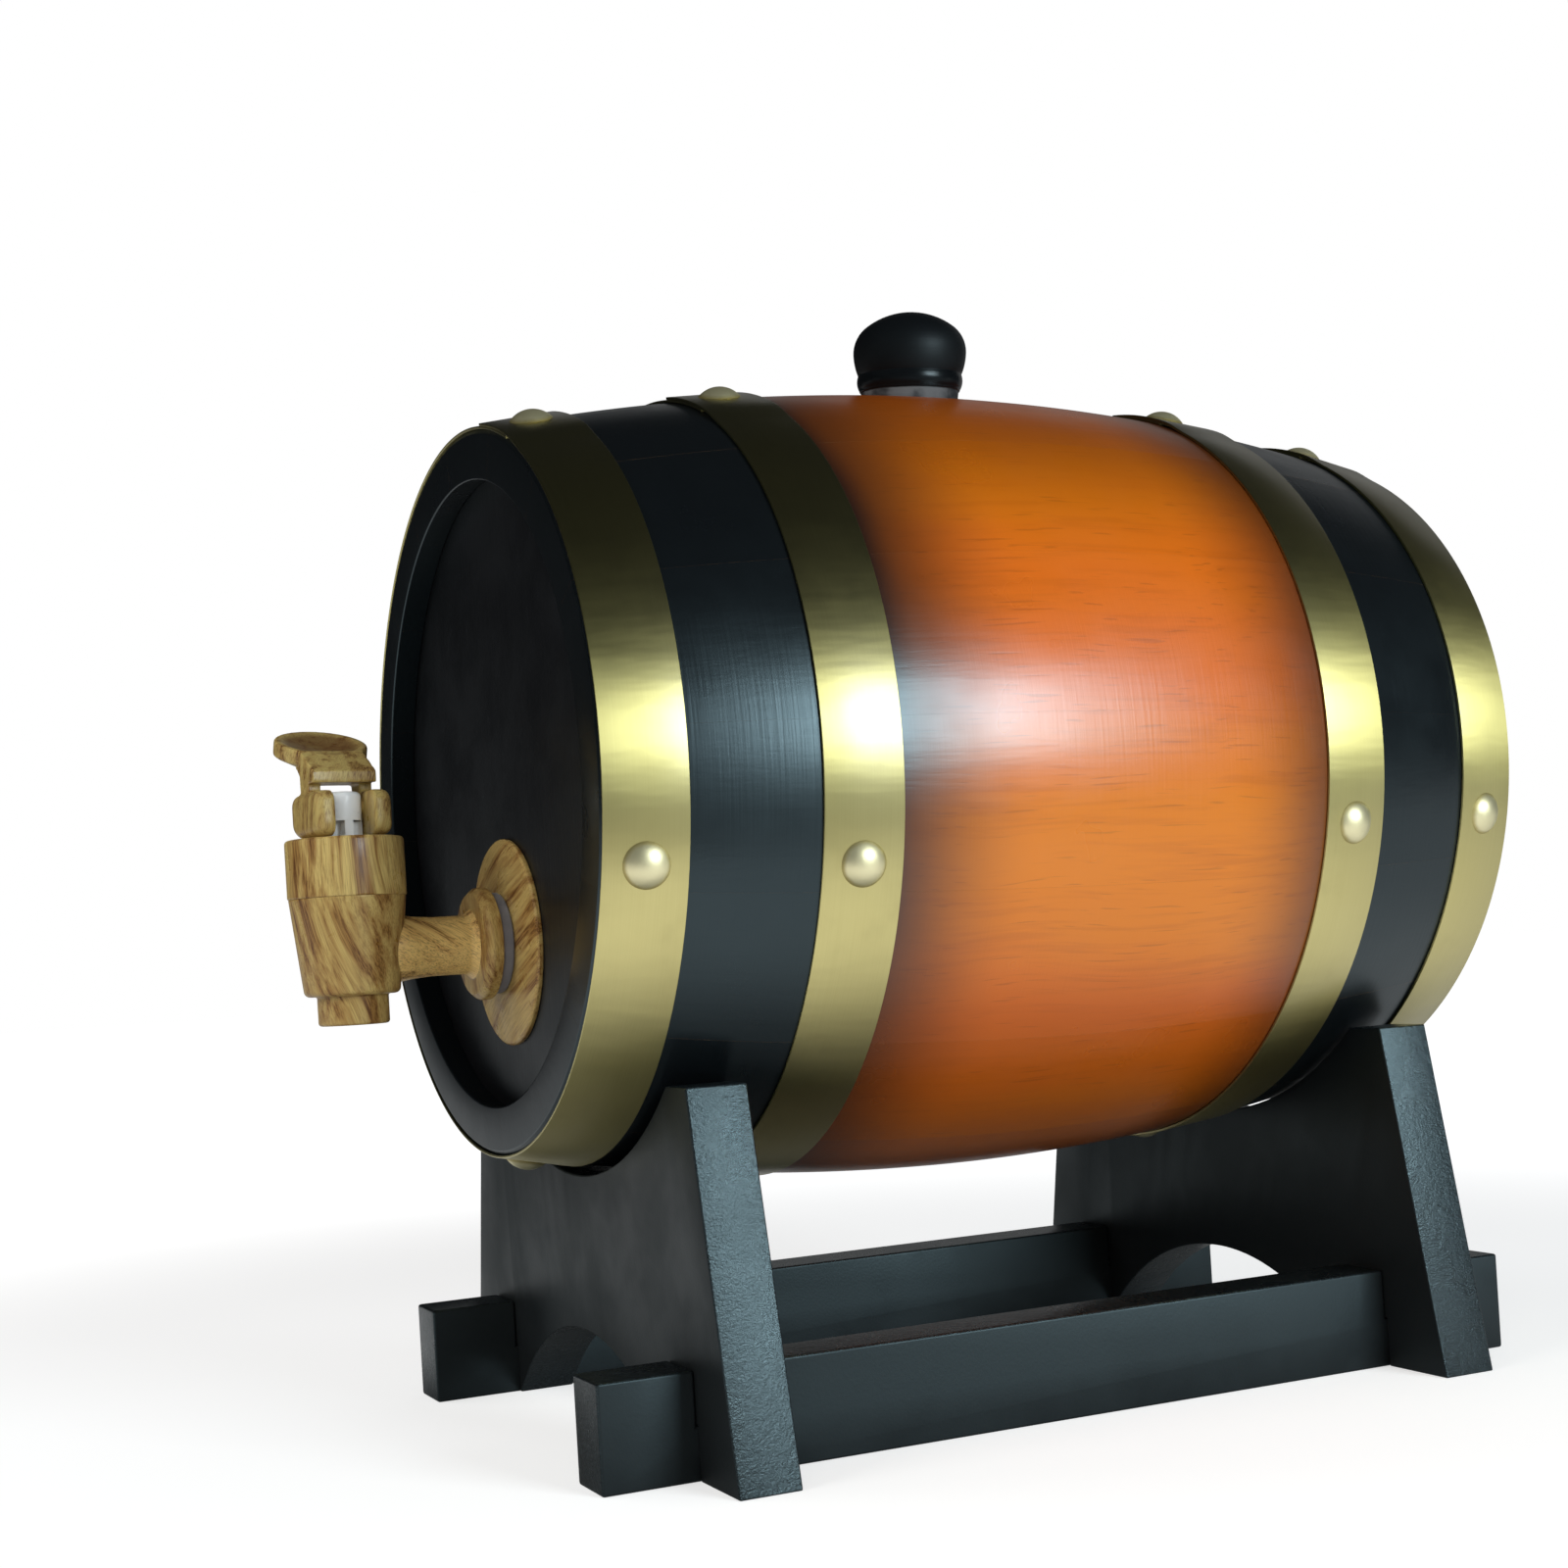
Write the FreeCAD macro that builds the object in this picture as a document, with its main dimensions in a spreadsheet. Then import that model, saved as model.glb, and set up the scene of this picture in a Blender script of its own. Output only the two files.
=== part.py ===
import FreeCAD, Part
import Sketcher
import math
import os
import re

# Oak cask dispenser: a coopered barrel that lies in a slotted board stand, with a lever tap in its front
# head and a turned bung on top. Millimetres. X is across, Y runs from the tap to the back, Z is up.
# The origin is on the floor, under the middle of the whole object.

DRIVING_SIZES = {
    # barrel: staves, croze and heads
    "barrel_length": 302,
    "bilge_radius": 123.8,
    "end_radius": 107.3,
    "stave_wall": 14,
    "stave_count": 16,
    "stave_joint_angle": 0.06,
    "chime_bevel": 1.2,
    "head_recess": 8.5,
    "head_thickness": 12,
    "head_edge": 5,
    "croze_depth": 4,
    "croze_clearance": 0.2,
    "axis_height": 192.2,
    # hoops and their nails
    "hoop_width": 22.5,
    "hoop_thickness": 0.8,
    "hoop_clearance": 0.12,
    "end_hoop_inset": 0.2,
    "bilge_hoop_place": 70.2,
    "lap_angle": 13,
    "nail_head_radius": 6.35,
    "nail_head_height": 2.9,
    "nail_radius": 1.1,
    "nail_length": 11,
    "nail_clearance": 0.1,
    "side_nail_angle": -14.5,
    "top_nail_angle": 70,
    "back_nail_angle": 165,
    "bottom_nail_angle": -93,
    "rear_nail_angle": 3,
    # bung
    "bung_angle": 83,
    "bung_offset": -2.4,
    "bung_hole_radius": 15.5,
    "bung_hole_taper": 0.1,
    "bung_tail_length": 20,
    "bung_clearance": 0.05,
    "bung_neck_height": 2.5,
    "bung_ring_foot": 16.1,
    "bung_ring_curve": 6.5,
    "bung_ring_height": 5.3,
    "bung_waist_radius": 16.75,
    "bung_head_radius": 18.1,
    "bung_head_height": 19.8,
    "bung_head_widest": 7.1,
    "bung_shoulder_radius": 10,
    # tap: barrel fitting
    "tap_drop": 44.2,
    "tap_reach": 48.7,
    "escutcheon_radius": 31,
    "escutcheon_rim": 1.6,
    "escutcheon_thickness": 3.3,
    "escutcheon_hub_radius": 15.6,
    "washer_radius": 15.1,
    "outer_washer_thickness": 3.8,
    "inner_washer_thickness": 2.2,
    "flange_radius": 16.8,
    "flange_thickness": 5,
    "flange_round": 1.8,
    "shank_radius": 8.75,
    "tail_radius": 8,
    "tail_clearance": 0.2,
    "nut_radius": 14.5,
    "nut_thickness": 8,
    "tail_end": 4,
    # tap: body, cap and seal
    "tap_top_radius": 16.9,
    "tap_foot_radius": 13.8,
    "tap_top": 15.6,
    "tap_foot": 12.9,
    "tap_foot_round": 2,
    "nozzle_radius": 10.3,
    "nozzle_length": 8.6,
    "nozzle_round": 1,
    "nozzle_bore": 5.6,
    "inlet_bore": 5,
    "chamber_radius": 11.6,
    "chamber_floor": 8,
    "valve_seat_width": 2,
    "valve_seat_height": 2.4,
    "tap_neck_radius": 14.2,
    "tap_neck_height": 11.5,
    "cap_radius": 17.2,
    "cap_height": 17.2,
    "cap_wall": 3,
    "cap_round": 1,
    "thread_clearance": 0.2,
    "seal_clearance": 0.3,
    "seal_wall": 1.6,
    "seal_lip": 0.8,
    "plug_height": 9,
    # tap: stem
    "stem_foot_radius": 4.4,
    "stem_foot_height": 2.4,
    "stem_neck_radius": 2.7,
    "stem_neck_height": 2.2,
    "stem_radius": 5.5,
    "stem_collar": 2.6,
    "stem_rib": 2.6,
    "stem_rib_reach": 5.3,
    "stem_head_height": 8.5,
    "stem_head_round": 1.6,
    "stem_clearance": 0.3,
    "pin_radius": 2.2,
    "pin_clearance": 0.08,
    "pin_height": 9.3,
    "pin_bite": 2,
    # tap: lever
    "lever_turn_angle": 185,
    "lever_travel_angle": 35,
    "cam_arm": 6,
    "cam_toe_radius": 3,
    "lobe_clearance": 0.3,
    "cheek_gap": 5.8,
    "cheek_wall": 3.9,
    "lobe_wall": 5.8,
    "lobe_back": 11.6,
    "lobe_top": 4.4,
    "lobe_round": 2.6,
    "lobe_shoulder": 3.6,
    "leg_back": 0.8,
    "leg_front": 8.2,
    "lip_back": 3.7,
    "lip_bottom": 7,
    "lip_height": 3.4,
    "neck_bottom": 9.6,
    "paddle_radius": 13.75,
    "paddle_reach": 15.9,
    "paddle_rise": 20.7,
    "paddle_tilt_angle": 21,
    "paddle_edge": 4.4,
    "paddle_round": 0.7,
    "paddle_belly": 3,
    "paddle_belly_radius": 7,
    "paddle_rim": 1.8,
    "dish_depth": 2.4,
    "ramp_chord": 9.4,
    # stand
    "cradle_place": 107.8,
    "board_thickness": 18.2,
    "cradle_foot_width": 223.4,
    "cradle_top_width": 182,
    "saddle_drop": 86.5,
    "saddle_clearance": 0.3,
    "arch_toe": 1.2,
    "arch_rise": 29.3,
    "rail_length": 308,
    "rail_height": 30,
    "rail_width": 18.6,
    "rail_spacing": 153.2,
    "slot_clearance": 0.1,
}

# Sizes that follow from the driving ones.
WORKED_OUT_SIZES = {
    "half_length": "barrel_length / 2",
    "bilge_swell": "bilge_radius - end_radius",
    "curve_radius": "(half_length ^ 2 + bilge_swell ^ 2) / (2 * bilge_swell)",
    "curve_centre": "bilge_radius - curve_radius",
    "inner_curve": "curve_radius - stave_wall",
    "stave_pitch": "360 / stave_count",
    "head_face": "half_length - head_recess",
    "head_edge_back": "head_face - head_edge",
    "head_back": "head_face - head_thickness",
    "end_hoop_outer": "half_length - end_hoop_inset",
    "end_hoop_inner": "end_hoop_outer - hoop_width",
    "bilge_hoop_outer": "bilge_hoop_place + hoop_width",
    "nail_dome_curve": "(nail_head_radius ^ 2 + nail_head_height ^ 2) / (2 * nail_head_height)",
    "front_reach": "head_face + tap_reach + cap_radius",
    "barrel_y": "(front_reach - rail_length / 2) / 2",
    "tap_y": "barrel_y - head_face - tap_reach",
    "tap_z": "axis_height - tap_drop",
    "bung_waist_z": "bung_neck_height + bung_ring_height",
    "bung_widest_z": "bung_waist_z + bung_head_widest",
    "bung_top": "bung_waist_z + bung_head_height",
    "bung_shoulder_x": "bung_head_radius - bung_shoulder_radius",
    "bung_shoulder_z": "bung_top - bung_widest_z - bung_shoulder_radius",
    "bung_crown_gap": "(bung_shoulder_x ^ 2 + bung_shoulder_z ^ 2) / (2 * bung_shoulder_z)",
    "bung_crown_curve": "bung_crown_gap + bung_shoulder_radius",
    "bung_skirt_swell": "bung_head_radius - bung_waist_radius",
    "bung_skirt_curve": "(bung_skirt_swell ^ 2 + bung_head_widest ^ 2) / (2 * bung_skirt_swell)",
    "escutcheon_front": "tap_reach - escutcheon_thickness",
    "flange_back": "escutcheon_front - outer_washer_thickness",
    "flange_front": "flange_back - flange_thickness",
    "nut_front": "tap_reach + head_thickness + inner_washer_thickness",
    "tail_back": "nut_front + nut_thickness + tail_end",
    "tail_hole": "tail_radius + tail_clearance",
    "cap_top": "tap_top + cap_height",
    "cap_ceiling": "cap_top - cap_wall",
    "cap_bore": "tap_neck_radius + thread_clearance",
    "tap_neck_top": "tap_top + tap_neck_height",
    "seat_top": "valve_seat_height - chamber_floor",
    "plug_radius": "nozzle_bore + valve_seat_width + seal_lip",
    "plug_bottom": "seat_top + seal_clearance",
    "plug_top": "plug_bottom + plug_height",
    "stem_foot_top": "plug_top - stem_neck_height",
    "stem_foot_bottom": "stem_foot_top - stem_foot_height",
    "stem_start": "plug_top + seal_clearance",
    "pin_z": "cap_top + pin_height",
    "stem_head_bottom": "pin_z - stem_head_height / 2",
    "stem_hole": "stem_radius + stem_clearance",
    "cam_drop": "pin_height - lobe_clearance",
    "cam_middle": "lever_travel_angle / 2",
    "cam_centre_x": "cam_arm * cos(cam_middle * 1 deg)",
    "cam_centre_z": "cam_arm * sin(cam_middle * 1 deg)",
    "cam_radius": "cam_drop + cam_centre_z",
    "cam_end_x": "cam_centre_x + cam_radius * sin(lever_travel_angle * 1 deg)",
    "cam_end_z": "cam_centre_z - cam_radius * cos(lever_travel_angle * 1 deg)",
    "lobe_front": "cam_end_x + cam_toe_radius * (1 - sin(lever_travel_angle * 1 deg))",
    "lobe_toe_z": "cam_end_z + cam_toe_radius * cos(lever_travel_angle * 1 deg)",
    "lobe_outer": "cheek_gap + lobe_wall",
    "cheek_outer": "cheek_gap + cheek_wall",
    "dish_mouth": "paddle_radius - paddle_rim",
    "dish_curve": "(dish_mouth ^ 2 + dish_depth ^ 2) / (2 * dish_depth)",
    "lip_top": "lip_bottom + lip_height",
    "rail_inner": "rail_spacing / 2 - rail_width / 2",
    "rail_outer": "rail_spacing / 2 + rail_width / 2",
    "cradle_outer": "cradle_place + board_thickness",
    "saddle_radius": "curve_centre + sqrt(curve_radius ^ 2 - cradle_place ^ 2) + saddle_clearance",
    "cradle_height": "axis_height - saddle_drop",
    "arch_half": "rail_inner - arch_toe",
    "arch_radius": "(arch_half ^ 2 + arch_rise ^ 2) / (2 * arch_rise)",
}

doc = FreeCAD.newDocument("OakCaskDispenser")


# ---------------------------------------------------------------------------------------------- sheets

def fill_sheet(name, rows):
    sheet = doc.addObject("Spreadsheet::Sheet", name)
    for row, (alias, content) in enumerate(rows, start=1):
        sheet.set(f"A{row}", alias)
        sheet.set(f"B{row}", content)
        sheet.setAlias(f"B{row}", alias)
    sheet.recompute()
    return sheet


def bound(formula):
    """The formula with each size written as the sheet that holds it and its alias."""

    def owner(word):
        alias = word.group()
        if alias in DRIVING_SIZES:
            return "Sizes." + alias
        if alias in WORKED_OUT_SIZES:
            return "Places." + alias
        return alias

    return re.sub(r"[a-z][a-z_]+", owner, formula)


sizes = fill_sheet("Sizes", [(alias, str(number)) for alias, number in DRIVING_SIZES.items()])
places = fill_sheet("Places", [(alias, "=" + bound(text)) for alias, text in WORKED_OUT_SIZES.items()])
doc.recompute()
probe = doc.addObject("Spreadsheet::Sheet", "Probe")


def number(formula):
    """What the formula comes to now, for the first guess that a sketch is solved from."""
    probe.set("A1", "=1 * (" + bound(formula) + ")")
    probe.recompute()
    return float(probe.get("A1"))


# ------------------------------------------------------------------------------------ sketches, features

def new_body(label):
    body = doc.addObject("PartDesign::Body", label)
    body.Label = label
    body.AllowCompound = True
    return body


def place(body, x="0", y="0", z="0", turn_axis=None, turn="0"):
    """Puts a body where the sheet says, turned about one axis through its own origin."""
    if turn_axis is not None:
        body.Placement = FreeCAD.Placement(FreeCAD.Vector(), FreeCAD.Rotation(turn_axis, number(turn)))
        body.setExpression("Placement.Rotation.Angle", bound(turn))
    for letter, formula in zip("xyz", (x, y, z)):
        body.setExpression("Placement.Base." + letter, bound(formula))


def new_sketch(body, name, plane_role):
    sketch = body.newObject("Sketcher::SketchObject", name)
    plane = next(feature for feature in body.Origin.OriginFeatures if feature.Role == plane_role)
    sketch.AttachmentSupport = [(plane, "")]
    sketch.MapMode = "FlatFace"
    return sketch


def turn_sketch(sketch, axis, formula):
    """Turns a sketch about an axis of its own plane through the body's origin."""
    sketch.AttachmentOffset = FreeCAD.Placement(FreeCAD.Vector(), FreeCAD.Rotation(axis, number(formula)))
    sketch.setExpression("AttachmentOffset.Rotation.Angle", bound(formula))


def drive(sketch, kind, references, formula):
    """Adds one dimension to a sketch and binds it to the sheet."""
    index = sketch.addConstraint(Sketcher.Constraint(kind, *references, number(formula)))
    sketch.setExpression(f"Constraints[{index}]", bound(formula))


def outline(body, name, plane_role, corners):
    """A closed sketch. A corner is (across, along), or (across, along, radius, turn) where the edge that
    leaves it is an arc: turn 1 keeps the arc's centre on the left of the way round, turn -1 on the right."""
    sketch = new_sketch(body, name, plane_role)
    points = [FreeCAD.Vector(number(corner[0]), number(corner[1]), 0) for corner in corners]
    edges = []
    for index, corner in enumerate(corners):
        start = points[index]
        end = points[(index + 1) % len(points)]
        if len(corner) == 2:
            edges.append((sketch.addGeometry(Part.LineSegment(start, end)), 1, 2))
            continue
        radius = number(corner[2])
        turn = corner[3]
        chord = end - start
        left = FreeCAD.Vector(-chord.y, chord.x, 0).normalize()
        sagitta = math.sqrt(max(radius ** 2 - chord.Length ** 2 / 4, 0))
        centre = (start + end) / 2 + left * turn * sagitta
        first, last = (start, end) if turn == 1 else (end, start)
        angles = [math.atan2(point.y - centre.y, point.x - centre.x) for point in (first, last)]
        circle = Part.Circle(centre, FreeCAD.Vector(0, 0, 1), radius)
        arc = sketch.addGeometry(Part.ArcOfCircle(circle, angles[0], angles[1]))
        edges.append((arc, 1, 2) if turn == 1 else (arc, 2, 1))
    for index, (edge, start_end, far_end) in enumerate(edges):
        following, following_start, _ = edges[(index + 1) % len(edges)]
        sketch.addConstraint(Sketcher.Constraint("Coincident", edge, far_end, following, following_start))
    for corner, (edge, start_end, far_end) in zip(corners, edges):
        drive(sketch, "DistanceX", (-1, 1, edge, start_end), corner[0])
        drive(sketch, "DistanceY", (-1, 1, edge, start_end), corner[1])
        if len(corner) == 4:
            drive(sketch, "Radius", (edge,), corner[2])
    return sketch


def circles(body, name, plane_role, centres, radius):
    sketch = new_sketch(body, name, plane_role)
    for across, along in centres:
        centre = FreeCAD.Vector(number(across), number(along), 0)
        ring = sketch.addGeometry(Part.Circle(centre, FreeCAD.Vector(0, 0, 1), number(radius)))
        drive(sketch, "DistanceX", (-1, 1, ring, 3), across)
        drive(sketch, "DistanceY", (-1, 1, ring, 3), along)
        drive(sketch, "Radius", (ring,), radius)
    return sketch


def revolve(body, name, sketch, axis, angle="360", cut=False):
    feature = body.newObject("PartDesign::Groove" if cut else "PartDesign::Revolution", name)
    feature.Profile = sketch
    feature.ReferenceAxis = (sketch, [axis])
    feature.Midplane = angle != "360"
    feature.setExpression("Angle", bound(angle))
    return feature


def extrude(body, name, sketch, length, cut=False, both_ways=False, backwards=False):
    feature = body.newObject("PartDesign::Pocket" if cut else "PartDesign::Pad", name)
    feature.Profile = sketch
    feature.Midplane = both_ways
    feature.Reversed = backwards
    feature.setExpression("Length", bound(length))
    return feature


# ------------------------------------------------------------------------------------------- the barrel

def outside(along):
    """Radius of the barrel's outside at this distance from its middle."""
    return f"curve_centre + sqrt(curve_radius ^ 2 - ({along}) ^ 2)"


def inside(along):
    return f"curve_centre + sqrt(inner_curve ^ 2 - ({along}) ^ 2)"


def stave_outline(body):
    """One stave's long section: bowed outside, bowed inside, a croze near each end, bevelled ends."""
    croze_front = "head_face + croze_clearance"
    croze_back = "head_edge_back - croze_clearance"
    croze_floor = f"{inside('head_face')} + croze_depth"
    bevel_start = "half_length - chime_bevel"
    return outline(body, "stave_section", "XY_Plane", [
        ("end_radius - chime_bevel", "half_length"),
        (inside("half_length"), "half_length", "inner_curve", -1),
        (inside(croze_front), croze_front),
        (croze_floor, croze_front),
        (croze_floor, croze_back),
        (inside(croze_back), croze_back, "inner_curve", -1),
        (inside(croze_back), f"-({croze_back})"),
        (croze_floor, f"-({croze_back})"),
        (croze_floor, f"-({croze_front})"),
        (inside(croze_front), f"-({croze_front})", "inner_curve", -1),
        (inside("half_length"), "-half_length"),
        ("end_radius - chime_bevel", "-half_length"),
        (outside(bevel_start), f"-({bevel_start})", "curve_radius", 1),
        (outside(bevel_start), bevel_start),
    ])


ACROSS = FreeCAD.Vector(1, 0, 0)
ALONG = FreeCAD.Vector(0, 1, 0)
UPRIGHT = FreeCAD.Vector(0, 0, 1)


def place_on_barrel(body, angle):
    """Turns a piece drawn on the barrel's +X side to this angle, counted from +X towards the top."""
    place(body, y="barrel_y", z="axis_height", turn_axis=ALONG, turn=f"-({angle})")


def make_staves():
    body = new_body("staves")
    section = stave_outline(body)
    stave = revolve(body, "one_stave", section, "V_Axis", "stave_pitch - stave_joint_angle")
    doc.recompute()
    ring = body.newObject("PartDesign::PolarPattern", "ring_of_staves")
    ring.Originals = [stave]
    ring.Axis = (section, ["V_Axis"])
    ring.setExpression("Angle", bound("360 - 2 * stave_pitch"))
    ring.setExpression("Occurrences", bound("stave_count - 1"))
    body.Tip = ring
    place_on_barrel(body, "bung_angle - stave_pitch")
    return body


def make_bung_stave():
    """The top stave, with the tapered bung hole bored square to its face."""
    body = new_body("bung_stave")
    revolve(body, "stave", stave_outline(body), "V_Axis", "stave_pitch - stave_joint_angle")
    hole_start = "bilge_radius - 2 * stave_wall"
    hole_end = "bilge_radius + chime_bevel"
    hole = outline(body, "hole_section", "XY_Plane", [
        (hole_start, "bung_offset"),
        (hole_end, "bung_offset"),
        (hole_end, "bung_offset + bung_hole_radius + bung_hole_taper * chime_bevel"),
        (hole_start, "bung_offset + bung_hole_radius - bung_hole_taper * 2 * stave_wall"),
    ])
    revolve(body, "bung_hole", hole, "Edge1", cut=True)
    place_on_barrel(body, "bung_angle")
    return body


def make_head(label, end):
    """A flat head: its thin edge sits in the croze, bevelled from behind. end is "-" in front, "" behind."""
    body = new_body(label)
    section = outline(body, "head_section", "XY_Plane", [
        ("0", f"{end}head_back"),
        (f"{inside('head_edge_back')} - head_thickness / 2", f"{end}head_back"),
        (f"{inside('head_edge_back')} - croze_clearance", f"{end}head_edge_back"),
        (f"{inside('head_face')} + croze_depth - croze_clearance", f"{end}head_edge_back"),
        (f"{inside('head_face')} + croze_depth - croze_clearance", f"{end}head_face"),
        ("0", f"{end}head_face"),
    ])
    revolve(body, "head", section, "V_Axis")
    if end:
        doc.recompute()
        hole = circles(body, "tap_hole_circle", "XZ_Plane", [("0", "-tap_drop")], "tail_hole")
        extrude(body, "tap_hole", hole, "2 * half_length", cut=True, both_ways=True)
    place(body, y="barrel_y", z="axis_height")
    return body


NAIL_ANGLES = ["top_nail_angle", "side_nail_angle", "bottom_nail_angle", "back_nail_angle"]


def hoop_section(body, name, inner, outer, lift):
    """A flat strap bent round the barrel's taper: lift is its distance off the wood."""
    return outline(body, name, "XY_Plane", [
        (f"{outside(inner)} + {lift}", inner),
        (f"{outside(inner)} + {lift} + hoop_thickness", inner),
        (f"{outside(outer)} + {lift} + hoop_thickness", outer),
        (f"{outside(outer)} + {lift}", outer),
    ])


def make_hoop(label, end, inner, outer, nail_turn):
    """A brass strap hoop whose end laps over its start under the top nail, with a hole for each nail."""
    body = new_body(label)
    inner = f"{end}{inner}"
    outer = f"{end}{outer}"
    strap = hoop_section(body, "strap_section", inner, outer, "hoop_clearance")
    revolve(body, "strap", strap, "V_Axis")
    lap = hoop_section(body, "lap_section", inner, outer, "hoop_clearance + hoop_thickness")
    revolve(body, "lap", lap, "V_Axis", "lap_angle")
    doc.recompute()
    middle = f"({inner} + {outer}) / 2"
    for nail_angle in NAIL_ANGLES:
        hole_radius = "nail_radius + nail_clearance"
        hole = circles(body, nail_angle + "_circle", "YZ_Plane", [(middle, "0")], hole_radius)
        turn_sketch(hole, ACROSS, f"top_nail_angle - {nail_angle}")
        extrude(body, nail_angle + "_hole", hole, "2 * bilge_radius", cut=True, backwards=True)
        doc.recompute()
    place_on_barrel(body, f"top_nail_angle + {nail_turn}")
    return body


def make_nails(label, end, inner, outer, nail_turn):
    """Four domed nails, each square to the hoop that it holds."""
    body = new_body(label)
    middle = f"({end}{inner} + {end}{outer}) / 2"
    slope_sine = f"(({middle}) / curve_radius)"
    slope_cosine = f"sqrt(1 - {slope_sine} ^ 2)"

    def corner(out, across, seat):
        radius = f"{outside(middle)} + {seat} + ({out}) * {slope_cosine} - ({across}) * {slope_sine}"
        return radius, f"{middle} + ({out}) * {slope_sine} + ({across}) * {slope_cosine}"

    for nail_angle in NAIL_ANGLES:
        seat = "hoop_clearance + 2 * hoop_thickness" if nail_angle == "top_nail_angle" else \
            "hoop_clearance + hoop_thickness"
        section = outline(body, nail_angle + "_section", "XY_Plane", [
            corner("-nail_length", "0", seat),
            corner("nail_head_height", "0", seat) + ("nail_dome_curve", 1),
            corner("0", "nail_head_radius", seat),
            corner("0", "nail_radius", seat),
            corner("-nail_length", "nail_radius", seat),
        ])
        turn_sketch(section, ALONG, f"-({nail_angle})")
        revolve(body, nail_angle + "_nail", section, "Edge1")
        doc.recompute()
    place_on_barrel(body, nail_turn)
    return body


def make_bung():
    """A turned bung: tapered tail, bead, waist and a domed head to lift it by."""
    body = new_body("bung")
    taper = "bung_hole_radius - bung_clearance"
    crown_share = "bung_crown_curve / bung_crown_gap"
    section = outline(body, "bung_section", "XZ_Plane", [
        ("0", "-bung_tail_length"),
        (f"{taper} - bung_hole_taper * bung_tail_length", "-bung_tail_length"),
        (f"{taper} + bung_hole_taper * bung_neck_height", "bung_neck_height"),
        ("bung_ring_foot", "bung_neck_height", "bung_ring_curve", 1),
        ("bung_waist_radius", "bung_waist_z", "bung_skirt_curve", 1),
        ("bung_head_radius", "bung_widest_z", "bung_shoulder_radius", 1),
        (f"bung_shoulder_x * {crown_share}",
         f"bung_top - bung_crown_curve + (bung_crown_gap - bung_shoulder_z) * {crown_share}",
         "bung_crown_curve", 1),
        ("0", "bung_top"),
    ])
    revolve(body, "turned_bung", section, "V_Axis")
    place(body, x="bilge_radius * cos(bung_angle * 1 deg)", y="barrel_y + bung_offset",
          z="axis_height + bilge_radius * sin(bung_angle * 1 deg)", turn_axis=ALONG, turn="90 - bung_angle")
    return body


# ---------------------------------------------------------------------------------------------- the tap

def make_tap_ring(label, start, corners_of_half):
    """A piece that is turned about the shank: corners are (distance behind its start, radius)."""
    body = new_body(label)
    section = outline(body, "ring_section", "YZ_Plane", [
        (f"{start} + {corner[0]}",) + tuple(corner[1:]) for corner in corners_of_half
    ])
    revolve(body, "ring", section, "H_Axis")
    place(body, y="tap_y", z="tap_z")
    return body


def make_escutcheon():
    return make_tap_ring("tap_escutcheon", "escutcheon_front", [
        ("0", "tail_hole"),
        ("0", "escutcheon_hub_radius"),
        ("escutcheon_thickness - escutcheon_rim", "escutcheon_radius"),
        ("escutcheon_thickness", "escutcheon_radius"),
        ("escutcheon_thickness", "tail_hole"),
    ])


def make_washer(label, start, thickness):
    return make_tap_ring(label, start, [
        ("0", "tail_hole"),
        ("0", "washer_radius"),
        (thickness, "washer_radius"),
        (thickness, "tail_hole"),
    ])


def make_lock_nut():
    """The hexagonal nut that clamps the tap from inside the barrel."""
    body = new_body("tap_lock_nut")
    corners = []
    for index in range(6):
        angle = index * 60
        corners.append((f"nut_radius * cos({angle} deg)", f"nut_radius * sin({angle} deg)"))
    hexagon = outline(body, "hexagon", "XZ_Plane", corners)
    nut = extrude(body, "nut", hexagon, "nut_thickness", backwards=True)
    doc.recompute()
    bore = circles(body, "nut_bore_circle", "XZ_Plane", [("0", "0")], "tail_hole")
    extrude(body, "nut_bore", bore, "nut_thickness", cut=True)
    place(body, y="tap_y + nut_front", z="tap_z")
    return body


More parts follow.
